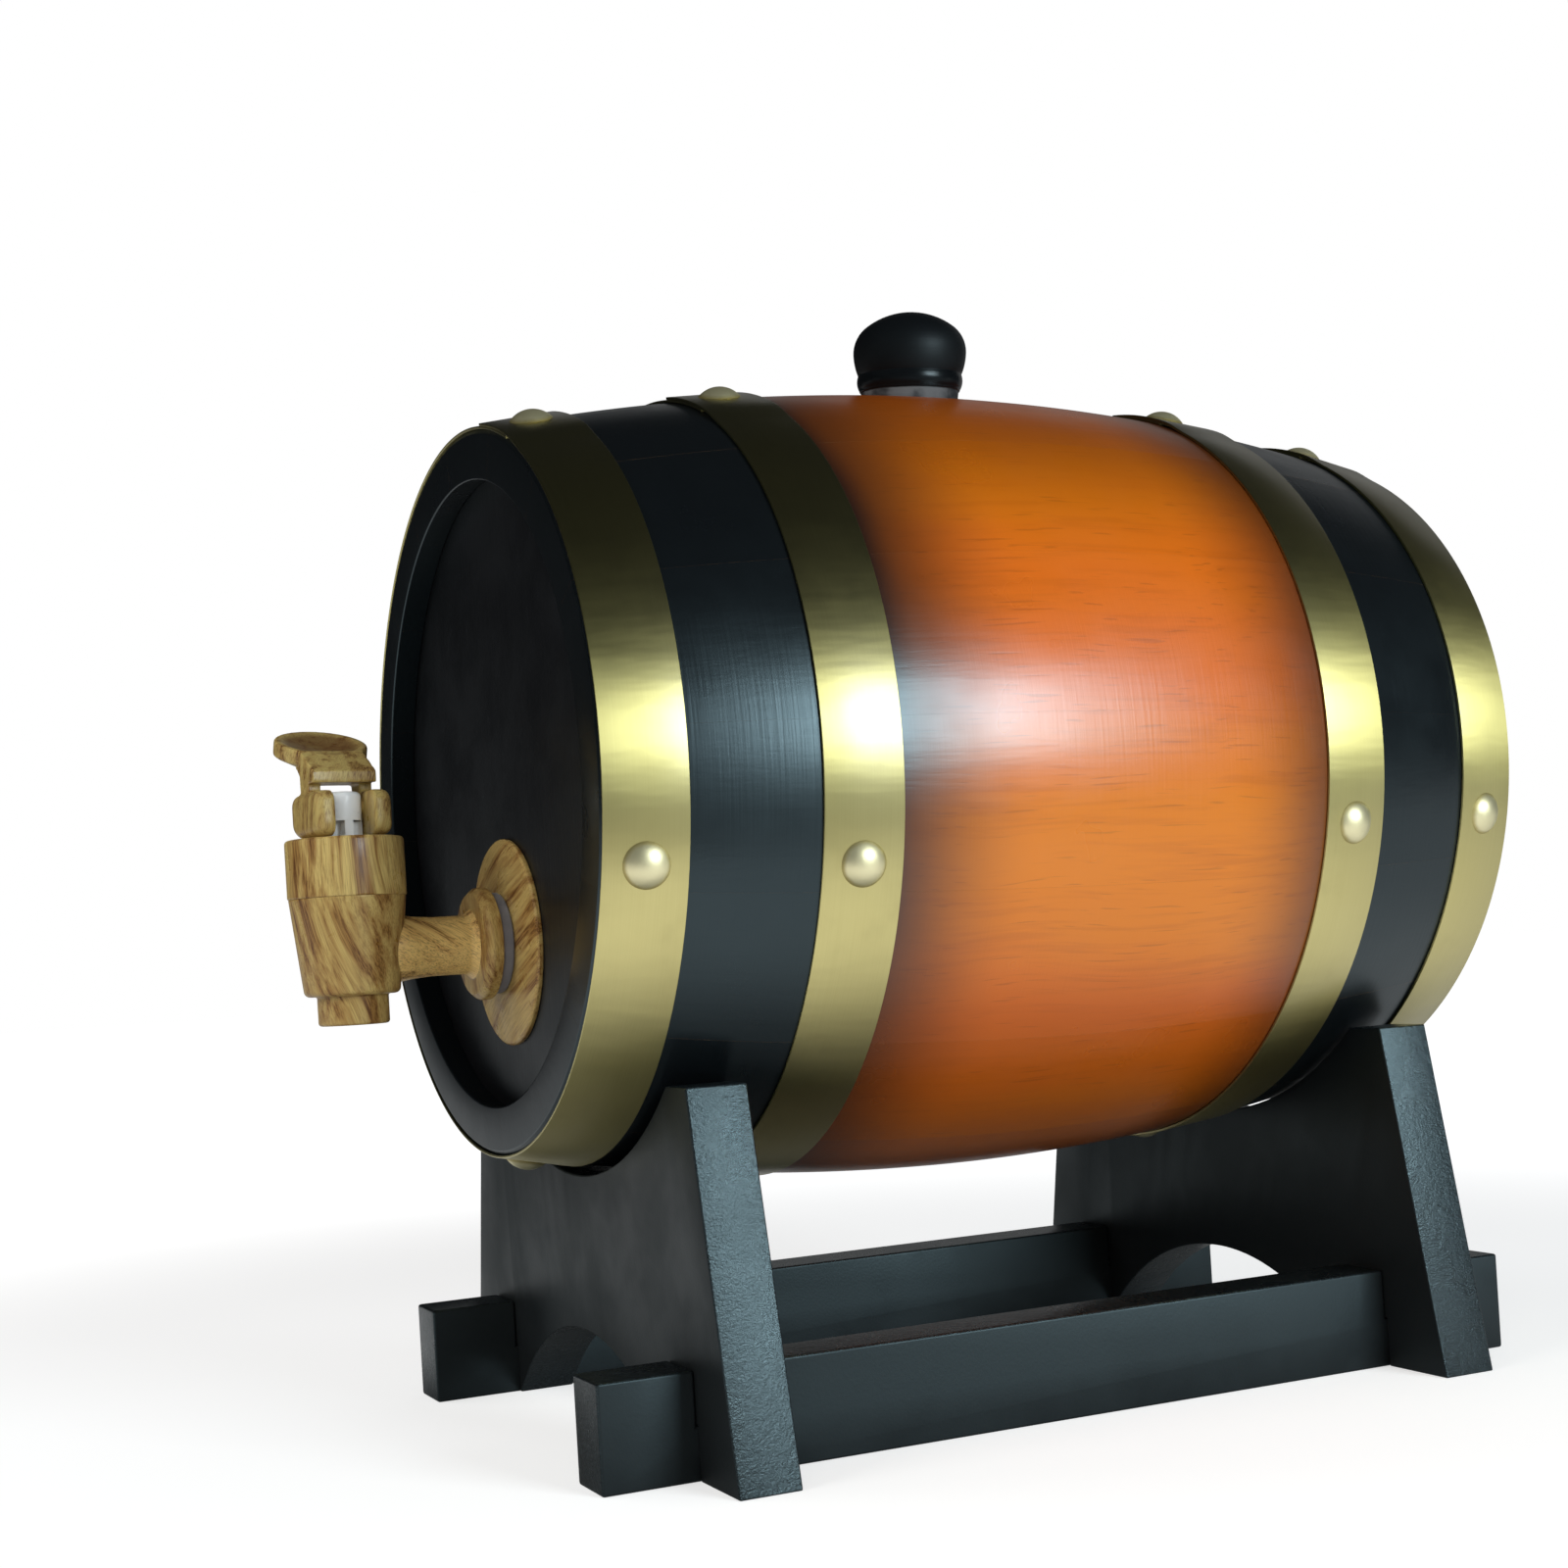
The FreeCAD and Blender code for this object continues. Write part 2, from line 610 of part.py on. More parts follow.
def make_tap_body():
    """The moulded body: tapered cup, nozzle, threaded neck, shank, flange and threaded tail in one."""
    body = new_body("tap_body")
    nozzle_bottom = "-(tap_foot + nozzle_length)"
    cup = outline(body, "cup_section", "XZ_Plane", [
        ("0", nozzle_bottom),
        ("nozzle_radius - nozzle_round", nozzle_bottom, "nozzle_round", 1),
        ("nozzle_radius", f"{nozzle_bottom} + nozzle_round"),
        ("nozzle_radius", "-tap_foot"),
        ("tap_foot_radius - tap_foot_round", "-tap_foot", "tap_foot_round", 1),
        ("tap_foot_radius", "tap_foot_round - tap_foot"),
        ("tap_top_radius", "tap_top"),
        ("tap_neck_radius", "tap_top"),
        ("tap_neck_radius", "tap_neck_top"),
        ("0", "tap_neck_top"),
    ])
    revolve(body, "cup", cup, "V_Axis")
    shank = outline(body, "shank_section", "YZ_Plane", [
        ("0", "0"),
        ("0", "shank_radius"),
        ("flange_front", "shank_radius"),
        ("flange_front", "flange_radius - flange_round", "flange_round", -1),
        ("flange_front + flange_round", "flange_radius"),
        ("flange_back", "flange_radius"),
        ("flange_back", "tail_radius"),
        ("tail_back", "tail_radius"),
        ("tail_back", "0"),
    ])
    revolve(body, "shank", shank, "H_Axis")
    chamber = outline(body, "chamber_section", "XZ_Plane", [
        ("0", f"{nozzle_bottom} - nozzle_round"),
        ("nozzle_bore", f"{nozzle_bottom} - nozzle_round"),
        ("nozzle_bore", "seat_top"),
        ("nozzle_bore + valve_seat_width", "seat_top"),
        ("nozzle_bore + valve_seat_width", "-chamber_floor"),
        ("chamber_radius", "-chamber_floor"),
        ("chamber_radius", "cap_top"),
        ("0", "cap_top"),
    ])
    revolve(body, "chamber", chamber, "V_Axis", cut=True)
    inlet = outline(body, "inlet_section", "YZ_Plane", [
        ("0", "0"),
        ("0", "inlet_bore"),
        ("tail_back + tail_end", "inlet_bore"),
        ("tail_back + tail_end", "0"),
    ])
    revolve(body, "inlet", inlet, "H_Axis", cut=True)
    place(body, y="tap_y", z="tap_z")
    return body


def make_tap_cap():
    body = new_body("tap_cap")
    section = outline(body, "cap_section", "XZ_Plane", [
        ("cap_bore", "tap_top"),
        ("cap_radius", "tap_top"),
        ("cap_radius", "cap_top - cap_round", "cap_round", 1),
        ("cap_radius - cap_round", "cap_top"),
        ("stem_hole", "cap_top"),
        ("stem_hole", "cap_ceiling"),
        ("cap_bore", "cap_ceiling"),
    ])
    revolve(body, "cap", section, "V_Axis")
    place(body, y="tap_y", z="tap_z")
    return body


def make_valve_seal():
    """The silicone seal: a flange held under the cap, a thin sleeve, and the plug that shuts the nozzle."""
    body = new_body("valve_seal")
    sleeve_bore = "plug_radius - seal_wall"
    section = outline(body, "seal_section", "XZ_Plane", [
        ("0", "plug_bottom"),
        ("plug_radius", "plug_bottom"),
        ("plug_radius", "tap_neck_top + seal_clearance"),
        ("tap_neck_radius", "tap_neck_top + seal_clearance"),
        ("tap_neck_radius", "cap_ceiling - seal_clearance"),
        (sleeve_bore, "cap_ceiling - seal_clearance"),
        (sleeve_bore, "plug_top"),
        ("stem_neck_radius + seal_clearance", "plug_top"),
        ("stem_neck_radius + seal_clearance", "stem_foot_top + seal_clearance"),
        ("stem_foot_radius + seal_clearance", "stem_foot_top + seal_clearance"),
        ("stem_foot_radius + seal_clearance", "stem_foot_bottom - seal_clearance"),
        ("0", "stem_foot_bottom - seal_clearance"),
    ])
    revolve(body, "seal", section, "V_Axis")
    place(body, y="tap_y", z="tap_z")
    return body


def make_stem():
    """The white stem: a button foot in the seal, a ribbed shaft through the cap, and a head for the pegs."""
    body = new_body("tap_stem")
    foot = outline(body, "foot_section", "XZ_Plane", [
        ("0", "stem_foot_bottom"),
        ("stem_foot_radius", "stem_foot_bottom"),
        ("stem_foot_radius", "stem_foot_top"),
        ("stem_neck_radius", "stem_foot_top"),
        ("stem_neck_radius", "stem_start"),
        ("stem_radius", "stem_start"),
        ("stem_radius", "stem_start + stem_collar"),
        ("0", "stem_start + stem_collar"),
    ])
    revolve(body, "foot", foot, "V_Axis")
    doc.recompute()
    half_rib = "stem_rib / 2"
    cross = outline(body, "cross_section", "XY_Plane", [
        ("stem_rib_reach", f"-{half_rib}"),
        ("stem_rib_reach", half_rib),
        (half_rib, half_rib),
        (half_rib, "stem_rib_reach"),
        (f"-{half_rib}", "stem_rib_reach"),
        (f"-{half_rib}", half_rib),
        ("-stem_rib_reach", half_rib),
        ("-stem_rib_reach", f"-{half_rib}"),
        (f"-{half_rib}", f"-{half_rib}"),
        (f"-{half_rib}", "-stem_rib_reach"),
        (half_rib, "-stem_rib_reach"),
        (half_rib, f"-{half_rib}"),
    ])
    cross.setExpression("AttachmentOffset.Base.z", bound("stem_start + stem_collar / 2"))
    extrude(body, "ribbed_shaft", cross, "pin_z - stem_start - stem_collar / 2")
    doc.recompute()
    head_top = "stem_head_bottom + stem_head_height"
    head = outline(body, "head_section", "XZ_Plane", [
        ("0", "stem_head_bottom"),
        ("stem_radius", "stem_head_bottom"),
        ("stem_radius", f"{head_top} - stem_head_round", "stem_head_round", 1),
        ("stem_radius - stem_head_round", head_top),
        ("0", head_top),
    ])
    revolve(body, "head", head, "V_Axis")
    doc.recompute()
    hole = circles(body, "peg_hole_circle", "XZ_Plane", [("0", "pin_z")], "pin_radius + pin_clearance")
    extrude(body, "peg_hole", hole, "4 * stem_radius", cut=True, both_ways=True)
    place(body, y="tap_y", z="tap_z", turn_axis=UPRIGHT, turn="lever_turn_angle")
    return body


def make_lever():
    """The lever: two cam lobes that roll on the cap, two legs, and a dished thumb paddle. Drawn about its
    pegs, with the paddle towards +X."""
    body = new_body("tap_lever")
    shoulder = "lobe_shoulder"
    side = outline(body, "lobe_outline", "XZ_Plane", [
        (f"{shoulder} - lobe_back", "-cam_drop"),
        ("cam_centre_x", "-cam_drop", "cam_radius", 1),
        ("cam_end_x", "cam_end_z", "cam_toe_radius", 1),
        ("lobe_front", "lobe_toe_z"),
        ("lobe_front", f"lobe_top - {shoulder}", shoulder, 1),
        (f"lobe_front - {shoulder}", "lobe_top"),
        (f"{shoulder} - lobe_back", "lobe_top", shoulder, 1),
        ("-lobe_back", f"lobe_top - {shoulder}"),
        ("-lobe_back", f"{shoulder} - cam_drop", shoulder, 1),
    ])
    lobes = extrude(body, "lobes", side, "2 * lobe_outer", both_ways=True)
    doc.recompute()
    outer_face = number("lobe_outer")
    outer_edges = [f"Edge{index}" for index, edge in enumerate(lobes.Shape.Edges, start=1)
                   if abs(edge.BoundBox.Center.y) > outer_face / 2]
    rounded = body.newObject("PartDesign::Fillet", "rounded_lobes")
    rounded.Base = (lobes, outer_edges)
    rounded.setExpression("Radius", bound("lobe_round"))
    doc.recompute()

    sine = "sin(paddle_tilt_angle * 1 deg)"
    cosine = "cos(paddle_tilt_angle * 1 deg)"

    def tilted(out, lift):
        across = f"paddle_reach + ({out}) * {cosine} - ({lift}) * {sine}"
        along = f"paddle_rise + ({out}) * {sine} + ({lift}) * {cosine}"
        return across, along

    neck = outline(body, "neck_outline", "XZ_Plane", [
        ("leg_back", "0"),
        ("leg_front", "0"),
        ("leg_front", "neck_bottom"),
        tilted("-paddle_belly_radius", "-paddle_edge - paddle_belly / 2"),
        tilted("-ramp_chord", "-dish_depth"),
        tilted("-ramp_chord", "0"),
        ("-lip_back", "lip_top"),
        ("-lip_back", "lip_bottom"),
        ("leg_back", "lip_bottom"),
    ])
    extrude(body, "neck", neck, "2 * cheek_outer", both_ways=True)
    doc.recompute()
    paddle = outline(body, "paddle_section", "XZ_Plane", [
        tilted("0", "-paddle_edge - paddle_belly"),
        tilted("0", "-dish_depth") + ("dish_curve", 1),
        tilted("dish_mouth", "0"),
        tilted("paddle_radius - paddle_round", "0") + ("paddle_round", -1),
        tilted("paddle_radius", "-paddle_round"),
        tilted("paddle_radius", "-paddle_edge"),
        tilted("paddle_belly_radius", "-paddle_edge - paddle_belly"),
    ])
    revolve(body, "paddle", paddle, "Edge1")
    doc.recompute()
    ramp = outline(body, "ramp_outline", "XZ_Plane", [
        ("-lip_back", "lip_top"),
        tilted("-ramp_chord", "0"),
        tilted("-ramp_chord", "paddle_radius"),
        ("-lip_back", "lip_top + paddle_radius"),
    ])
    extrude(body, "ramp", ramp, "4 * paddle_radius", cut=True, both_ways=True)
    slot = outline(body, "slot_outline", "XZ_Plane", [
        ("-2 * lobe_back", "-2 * cam_drop"),
        ("2 * lobe_front", "-2 * cam_drop"),
        ("2 * lobe_front", "lip_bottom"),
        ("-2 * lobe_back", "lip_bottom"),
    ])
    extrude(body, "slot", slot, "2 * cheek_gap", cut=True, both_ways=True)
    doc.recompute()
    peg = circles(body, "peg_circle", "XZ_Plane", [("0", "0")], "pin_radius")
    extrude(body, "pegs", peg, "2 * cheek_gap + cheek_wall", both_ways=True)
    doc.recompute()
    gap = circles(body, "peg_gap_circle", "XZ_Plane", [("0", "0")], "2 * pin_radius")
    extrude(body, "peg_gap", gap, "2 * (stem_radius - pin_bite)", cut=True, both_ways=True)
    place(body, y="tap_y", z="tap_z + pin_z", turn_axis=UPRIGHT, turn="lever_turn_angle")
    return body


# -------------------------------------------------------------------------------------------- the stand

def make_cradle(label, near, far):
    """An upright board with a saddle cut for the barrel, an arched foot, and a notch over each rail."""
    body = new_body(label)
    notch_inner = "rail_inner - slot_clearance"
    notch_outer = "rail_outer + slot_clearance"
    notch_top = "rail_height / 2"
    tip = "sqrt(saddle_radius ^ 2 - saddle_drop ^ 2)"
    board = outline(body, "board_outline", "XZ_Plane", [
        ("-cradle_foot_width / 2", "0"),
        (f"-({notch_outer})", "0"),
        (f"-({notch_outer})", notch_top),
        (f"-({notch_inner})", notch_top),
        (f"-({notch_inner})", "0"),
        ("-arch_half", "0", "arch_radius", -1),
        ("arch_half", "0"),
        (notch_inner, "0"),
        (notch_inner, notch_top),
        (notch_outer, notch_top),
        (notch_outer, "0"),
        ("cradle_foot_width / 2", "0"),
        ("cradle_top_width / 2", "cradle_height"),
        (tip, "cradle_height", "saddle_radius", -1),
        (f"-{tip}", "cradle_height"),
        ("-cradle_top_width / 2", "cradle_height"),
    ])
    extrude(body, "board", board, f"{far} - {near}", backwards=True)
    return body


def make_rail(label, side):
    """A floor rail with a half-depth notch from above for each cradle."""
    body = new_body(label)
    near = "cradle_place - slot_clearance"
    far = "cradle_outer + slot_clearance"
    notch = "rail_height / 2"
    board = outline(body, "board_outline", "YZ_Plane", [
        ("-rail_length / 2", "0"),
        ("rail_length / 2", "0"),
        ("rail_length / 2", "rail_height"),
        (far, "rail_height"),
        (far, notch),
        (near, notch),
        (near, "rail_height"),
        (f"-({near})", "rail_height"),
        (f"-({near})", notch),
        (f"-({far})", notch),
        (f"-({far})", "rail_height"),
        ("-rail_length / 2", "rail_height"),
    ])
    extrude(body, "board", board, "rail_width", both_ways=True)
    place(body, x=f"{side}rail_spacing / 2", y="barrel_y")
    return body


make_staves()
make_bung_stave()
make_head("front_head", "-")
make_head("rear_head", "")
STRAPS = [
    ("front_end", "-", "end_hoop_inner", "end_hoop_outer", "0"),
    ("front_bilge", "-", "bilge_hoop_place", "bilge_hoop_outer", "0"),
    ("rear_bilge", "", "bilge_hoop_place", "bilge_hoop_outer", "rear_nail_angle"),
    ("rear_end", "", "end_hoop_inner", "end_hoop_outer", "rear_nail_angle"),
]
for where, end, inner, outer, nail_turn in STRAPS:
    make_hoop("hoop_" + where, end, inner, outer, nail_turn)
    make_nails("nails_" + where, end, inner, outer, nail_turn)
make_bung()
make_escutcheon()
make_washer("tap_washer_outer", "flange_back", "outer_washer_thickness")
make_washer("tap_washer_inner", "tap_reach + head_thickness", "inner_washer_thickness")
make_lock_nut()
make_tap_body()
make_tap_cap()
make_valve_seal()
make_stem()
make_lever()
place(make_cradle("front_cradle", "cradle_place", "cradle_outer"), y="barrel_y - cradle_outer")
place(make_cradle("rear_cradle", "cradle_place", "cradle_outer"), y="barrel_y + cradle_place")
make_rail("left_rail", "-")
make_rail("right_rail", "")
doc.recompute()


# ---------------------------------------------------------------------------------- checks and export

bodies = [item for item in doc.Objects if item.TypeId == "PartDesign::Body"]
faults = []
for item in doc.Objects:
    if "Invalid" in item.State or "Error" in item.State:
        faults.append(f"{item.Label} ({item.Name}) is {', '.join(item.State)}")
for body in bodies:
    if body.Shape.isNull() or not body.Shape.isValid():
        faults.append(f"{body.Label} has no valid shape")
    elif not body.Shape.Solids:
        faults.append(f"{body.Label} has no solid")
if faults:
    raise RuntimeError("; ".join(faults))

os.makedirs("parts", exist_ok=True)
for body in bodies:
    body.Shape.exportStep(f"parts/{body.Label}.step")
    print(f"{body.Label}: {len(body.Shape.Solids)} solid(s), {len(body.Shape.Faces)} faces")
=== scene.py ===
from math import asin, atan2, cos, degrees, hypot, pi, radians, sin, sqrt, tan, tau

import bmesh
import bpy
from mathutils import Matrix, Vector


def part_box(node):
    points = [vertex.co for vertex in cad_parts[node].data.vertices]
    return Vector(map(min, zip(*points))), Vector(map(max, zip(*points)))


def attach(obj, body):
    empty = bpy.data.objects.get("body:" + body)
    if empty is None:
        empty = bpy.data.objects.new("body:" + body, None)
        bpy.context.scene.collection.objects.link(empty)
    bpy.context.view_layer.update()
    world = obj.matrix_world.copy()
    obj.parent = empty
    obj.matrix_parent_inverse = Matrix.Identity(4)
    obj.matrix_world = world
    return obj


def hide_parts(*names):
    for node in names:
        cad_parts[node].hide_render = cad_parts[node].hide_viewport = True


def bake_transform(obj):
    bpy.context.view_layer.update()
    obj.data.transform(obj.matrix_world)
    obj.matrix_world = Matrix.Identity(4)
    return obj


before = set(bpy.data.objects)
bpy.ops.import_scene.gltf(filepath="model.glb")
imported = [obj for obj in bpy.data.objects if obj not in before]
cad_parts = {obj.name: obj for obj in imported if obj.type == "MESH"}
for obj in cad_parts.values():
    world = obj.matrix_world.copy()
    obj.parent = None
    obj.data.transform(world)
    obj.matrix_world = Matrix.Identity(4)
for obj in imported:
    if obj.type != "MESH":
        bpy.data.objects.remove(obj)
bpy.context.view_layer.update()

# -------- the staves
# Sixteen oak staves, bowed and tapered, stand edge to edge in a ring under the hoops. The outside is
# planed to one smooth bulge, stained amber, sprayed black towards both ends and lacquered over all.
# A groove near each end, the croze, holds the head.

cask_low, cask_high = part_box("staves")
head_low, head_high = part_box("rear_head")
cask_middle = Vector((0, (cask_low.y + cask_high.y) / 2, (head_low.z + head_high.z) / 2))
cask_half_length = 0.151
belly_radius = 0.1238
end_radius = 0.1073
stave_wall = 0.014
stave_count = 16
stave_pitch = tau / stave_count
bung_angle = radians(83)
stave_joint = 0.0001
chime_bevel = 0.0012
chime_corner = 0.0005
head_face = 0.1425
head_edge = 0.005
croze_depth = 0.004
croze_play = 0.0002
belly = belly_radius - end_radius
bow_radius = (cask_half_length**2 + belly**2) / (2 * belly)


def cask_radius(along, depth=0.0):
    """Radius of the cask this far from its middle and this deep in the wood."""
    return belly_radius - bow_radius + sqrt((bow_radius - depth) ** 2 - along**2)


def bowed_run(start, end, depth, steps):
    """Points (radius, along) on the bow of a stave, from one distance along the cask to another."""
    places = [start + (end - start) * step / steps for step in range(steps + 1)]
    return [(cask_radius(along, depth), along) for along in places]


def eased(corners, steps=4):
    """An outline with its corners rounded: a corner is (radius, along) or (radius, along, rounding)."""
    points = []
    for index, corner in enumerate(corners):
        here = Vector(corner[:2])
        if len(corner) == 2:
            points.append(tuple(here))
            continue
        before = Vector(corners[index - 1][:2]) - here
        after = Vector(corners[(index + 1) % len(corners)][:2]) - here
        half_turn = before.angle(after) / 2
        reach = corner[2] / tan(half_turn)
        inward = (before.normalized() + after.normalized()).normalized()
        centre = here + inward * corner[2] / sin(half_turn)
        start = here + before.normalized() * reach - centre
        end = here + after.normalized() * reach - centre
        sweep = start.angle_signed(end)
        for step in range(steps + 1):
            angle = -sweep * step / steps
            turned_start = Vector((
                start.x * cos(angle) - start.y * sin(angle),
                start.x * sin(angle) + start.y * cos(angle)))
            points.append(tuple(centre + turned_start))
    return points


def lofted(name, rings, joined, crisp=35):
    """A closed solid through rings of points, smooth but for edges sharper than this angle."""
    count = len(rings[0])
    faces = []
    for ring in range(len(rings) if joined else len(rings) - 1):
        following = (ring + 1) % len(rings)
        for side in range(count):
            next_side = (side + 1) % count
            faces.append((ring * count + side, ring * count + next_side,
                          following * count + next_side, following * count + side))
    if not joined:
        faces.append(tuple(range(count)))
        faces.append(tuple(range((len(rings) - 1) * count, len(rings) * count)))
    mesh = bpy.data.meshes.new(name)
    mesh.from_pydata([point for ring in rings for point in ring], [], faces)
    return closed_up(mesh, crisp)


def closed_up(mesh, crisp=35):
    """Merges doubled points, turns every face outwards, and shades the mesh smooth between crisp edges."""
    shell = bmesh.new()
    shell.from_mesh(mesh)
    bmesh.ops.remove_doubles(shell, verts=shell.verts, dist=2e-6)
    bmesh.ops.dissolve_degenerate(shell, edges=shell.edges, dist=1e-7)
    bmesh.ops.recalc_face_normals(shell, faces=shell.faces)
    shell.to_mesh(mesh)
    shell.free()
    mesh.shade_smooth()
    mesh.set_sharp_from_angle(angle=radians(crisp))
    return mesh


def shown(name, data):
    piece = bpy.data.objects.new(name, data)
    bpy.context.scene.collection.objects.link(piece)
    return piece


def coated(mesh, *materials):
    """Gives a mesh these materials, in the order of its faces' material numbers."""
    mesh.materials.clear()
    for material in materials:
        mesh.materials.append(material)


def settle(piece, body, node, material=None):
    """Lets a finished piece ride on its body in place of a node; a piece of one material is coated here."""
    if material:
        coated(piece.data, material)
    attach(piece, body)
    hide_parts(node)


def made_plain(piece):
    """Turns a piece's modifiers into plain mesh."""
    bpy.context.view_layer.update()
    finished = bpy.data.meshes.new_from_object(piece.evaluated_get(bpy.context.evaluated_depsgraph_get()))
    piece.modifiers.clear()
    piece.data = finished
    return piece


def feed(tree, made, inputs):
    """Links or sets a node's sockets; a colour is given as red, green and blue."""
    for socket, value in inputs.items():
        if isinstance(value, bpy.types.NodeSocket):
            tree.links.new(value, made.inputs[socket])
        elif made.inputs[socket].type == "RGBA":
            made.inputs[socket].default_value = (*value, 1)
        else:
            made.inputs[socket].default_value = value


def add(tree, kind, inputs=None, **options):
    """A new node with its options set and its sockets fed, by name or by number."""
    made = tree.nodes.new(kind)
    for option, value in options.items():
        setattr(made, option, value)
    feed(tree, made, inputs or {})
    return made


def maths(tree, operation, *values):
    return add(tree, "ShaderNodeMath", dict(enumerate(values)), operation=operation).outputs[0]


def times(tree, first, second):
    return maths(tree, "MULTIPLY", first, second)


def step_up(tree, value, low, high, start=0.0, end=1.0):
    """Eases from start to end while the value goes from low to high."""
    inputs = {"Value": value, "From Min": low, "From Max": high, "To Min": start, "To Max": end}
    return add(tree, "ShaderNodeMapRange", inputs, interpolation_type="SMOOTHSTEP").outputs["Result"]


def vector_maths(tree, operation, *values, result="Vector"):
    return add(tree, "ShaderNodeVectorMath", dict(enumerate(values)), operation=operation).outputs[result]


def combined(tree, **parts):
    return add(tree, "ShaderNodeCombineXYZ", parts).outputs[0]


def cloud(tree, position, scale=1.0, detail=2.0, coarse=0.5):
    inputs = {"Vector": position, "Scale": scale, "Detail": detail, "Roughness": coarse}
    return add(tree, "ShaderNodeTexNoise", inputs).outputs[0]


def stretched(tree, position, size):
    """The position divided by a size along each axis."""
    return vector_maths(tree, "DIVIDE", position, size)


def mixed(tree, share, first, second):
    return add(tree, "ShaderNodeMix", {0: share, 6: first, 7: second}, data_type="RGBA").outputs[2]


def millimetres(tree, middle=(0, 0, 0), turn=(0, 0, 0)):
    """Position on the piece in millimetres from a middle, turned by these degrees."""
    place = add(tree, "ShaderNodeTexCoord").outputs["Object"]
    inputs = {"Vector": place, "Location": middle, "Rotation": [radians(angle) for angle in turn],
              "Scale": (0.001, 0.001, 0.001)}
    return add(tree, "ShaderNodeMapping", inputs, vector_type="TEXTURE").outputs[0]


def relief(tree, height, depth):
    return add(tree, "ShaderNodeBump", {"Height": height, "Distance": depth}).outputs["Normal"]


def new_group(name, inputs, outputs):
    """An empty shader node group with named numbers going in, Position first, and numbers coming out."""
    group = bpy.data.node_groups.new(name, "ShaderNodeTree")
    group.interface.new_socket("Position", in_out="INPUT", socket_type="NodeSocketVector")
    for label, value in inputs.items():
        socket = group.interface.new_socket(label, in_out="INPUT", socket_type="NodeSocketFloat")
        socket.default_value = value
    for label in outputs:
        group.interface.new_socket(label, in_out="OUTPUT", socket_type="NodeSocketFloat")
    return group, add(group, "NodeGroupInput").outputs, add(group, "NodeGroupOutput")


def placed_group(tree, group, inputs):
    return add(tree, "ShaderNodeGroup", inputs, node_tree=group).outputs


def new_finish(name, **sockets):
    """A material whose Principled shader has these uniform values."""
    material = bpy.data.materials.new(name)
    material.use_nodes = True
    shader = material.node_tree.nodes["Principled BSDF"]
    feed(material.node_tree, shader, {label.replace("_", " "): value for label, value in sockets.items()})
    return material, material.node_tree, shader


# Grain that runs along the position's Y: broad tone, fine lines, and short open pores.
wood_grain, entry, leave = new_group(
    "Wood grain", {"Line Width": 1.0, "Line Length": 30.0, "Wander": 0.0}, ["Tone", "Line", "Pore"])
sway = cloud(wood_grain, stretched(wood_grain, entry["Position"], (60, 60, 60)), 1.0, 1.0)
sway = times(wood_grain, maths(wood_grain, "SUBTRACT", sway, 0.5), entry["Wander"])
swayed = vector_maths(wood_grain, "ADD", entry["Position"], sway)
line_size = combined(wood_grain, X=entry["Line Width"], Y=entry["Line Length"], Z=entry["Line Width"])
along_grain = stretched(wood_grain, swayed, line_size)
feed(wood_grain, leave, {
    "Tone": cloud(wood_grain, along_grain, 0.11),
    "Line": cloud(wood_grain, along_grain, 1.0, 3.0, 0.6),
    "Pore": step_up(wood_grain, cloud(wood_grain, along_grain, 2.6, 1.0), 0.64, 0.74),
})

# Rubs, dust and cloudiness that a lacquered or moulded surface picks up in use.
handling, entry, leave = new_group("Handling marks", {"Size": 20.0}, ["Smudge", "Speck"])
smudge_place = stretched(handling, entry["Position"], entry["Size"])
feed(handling, leave, {
    "Smudge": cloud(handling, smudge_place, 1.0, 3.0, 0.6),
    "Speck": step_up(handling, cloud(handling, smudge_place, 26.0, 1.0), 0.72, 0.8),
})


def grain_on(tree, position, line_width, line_length, wander):
    return placed_group(tree, wood_grain, {
        "Position": position, "Line Width": line_width, "Line Length": line_length, "Wander": wander})


def marks_on(tree, position, size):
    return placed_group(tree, handling, {"Position": position, "Size": size})


def rubbed_roughness(tree, marks, least, most):
    """A roughness that rises from least to most where the surface is smudged."""
    return step_up(tree, marks["Smudge"], 0.3, 0.7, least, most)


lacquer, tree, shader = new_finish(
    "cask_lacquer", Specular_IOR_Level=0.75, Specular_Tint=(0.66, 0.91, 1.0), IOR=1.5)
around = millimetres(tree, cask_middle)
parts = add(tree, "ShaderNodeSeparateXYZ", {0: around}).outputs
spray_middle = 3.0
from_middle = maths(tree, "ABSOLUTE", maths(tree, "SUBTRACT", parts["Y"], spray_middle))
turn_round = maths(tree, "ARCTAN2", parts["Z"], parts["X"])
drift = cloud(tree, stretched(tree, around, (70, 190, 70)))
stain_wave = maths(tree, "SINE", maths(
    tree, "ADD", times(tree, turn_round, 6.0), maths(tree, "MULTIPLY_ADD", drift, 3.2, -1.914)))
grain = grain_on(tree, around, 2.6, 60.0, 7.0)
redness = maths(tree, "MULTIPLY_ADD", grain["Tone"], 0.8, times(tree, stain_wave, 0.5))
redness = step_up(tree, redness, -0.1, 1.0)
amber = mixed(tree, redness, (0.71, 0.192, 0.0), (0.66, 0.132, 0.006))
upward = maths(tree, "SINE", turn_round)
# Painted shade: the amber darkens towards the top and towards the bottom of the cask, where less light
# falls.
amber = mixed(tree, step_up(tree, upward, 0.40, 0.85, 0.0, 0.86), amber, (0.26, 0.05, 0.0))
amber = mixed(tree, step_up(tree, upward, -0.9, -0.45, 0.6, 0.0), amber, (0.30, 0.05, 0.0))
amber = mixed(tree, step_up(tree, grain["Line"], 0.46, 0.72, 0.0, 0.28), amber, (0.42, 0.085, 0.001))
amber = mixed(tree, times(tree, grain["Pore"], 0.26), amber, (0.16, 0.035, 0.004))
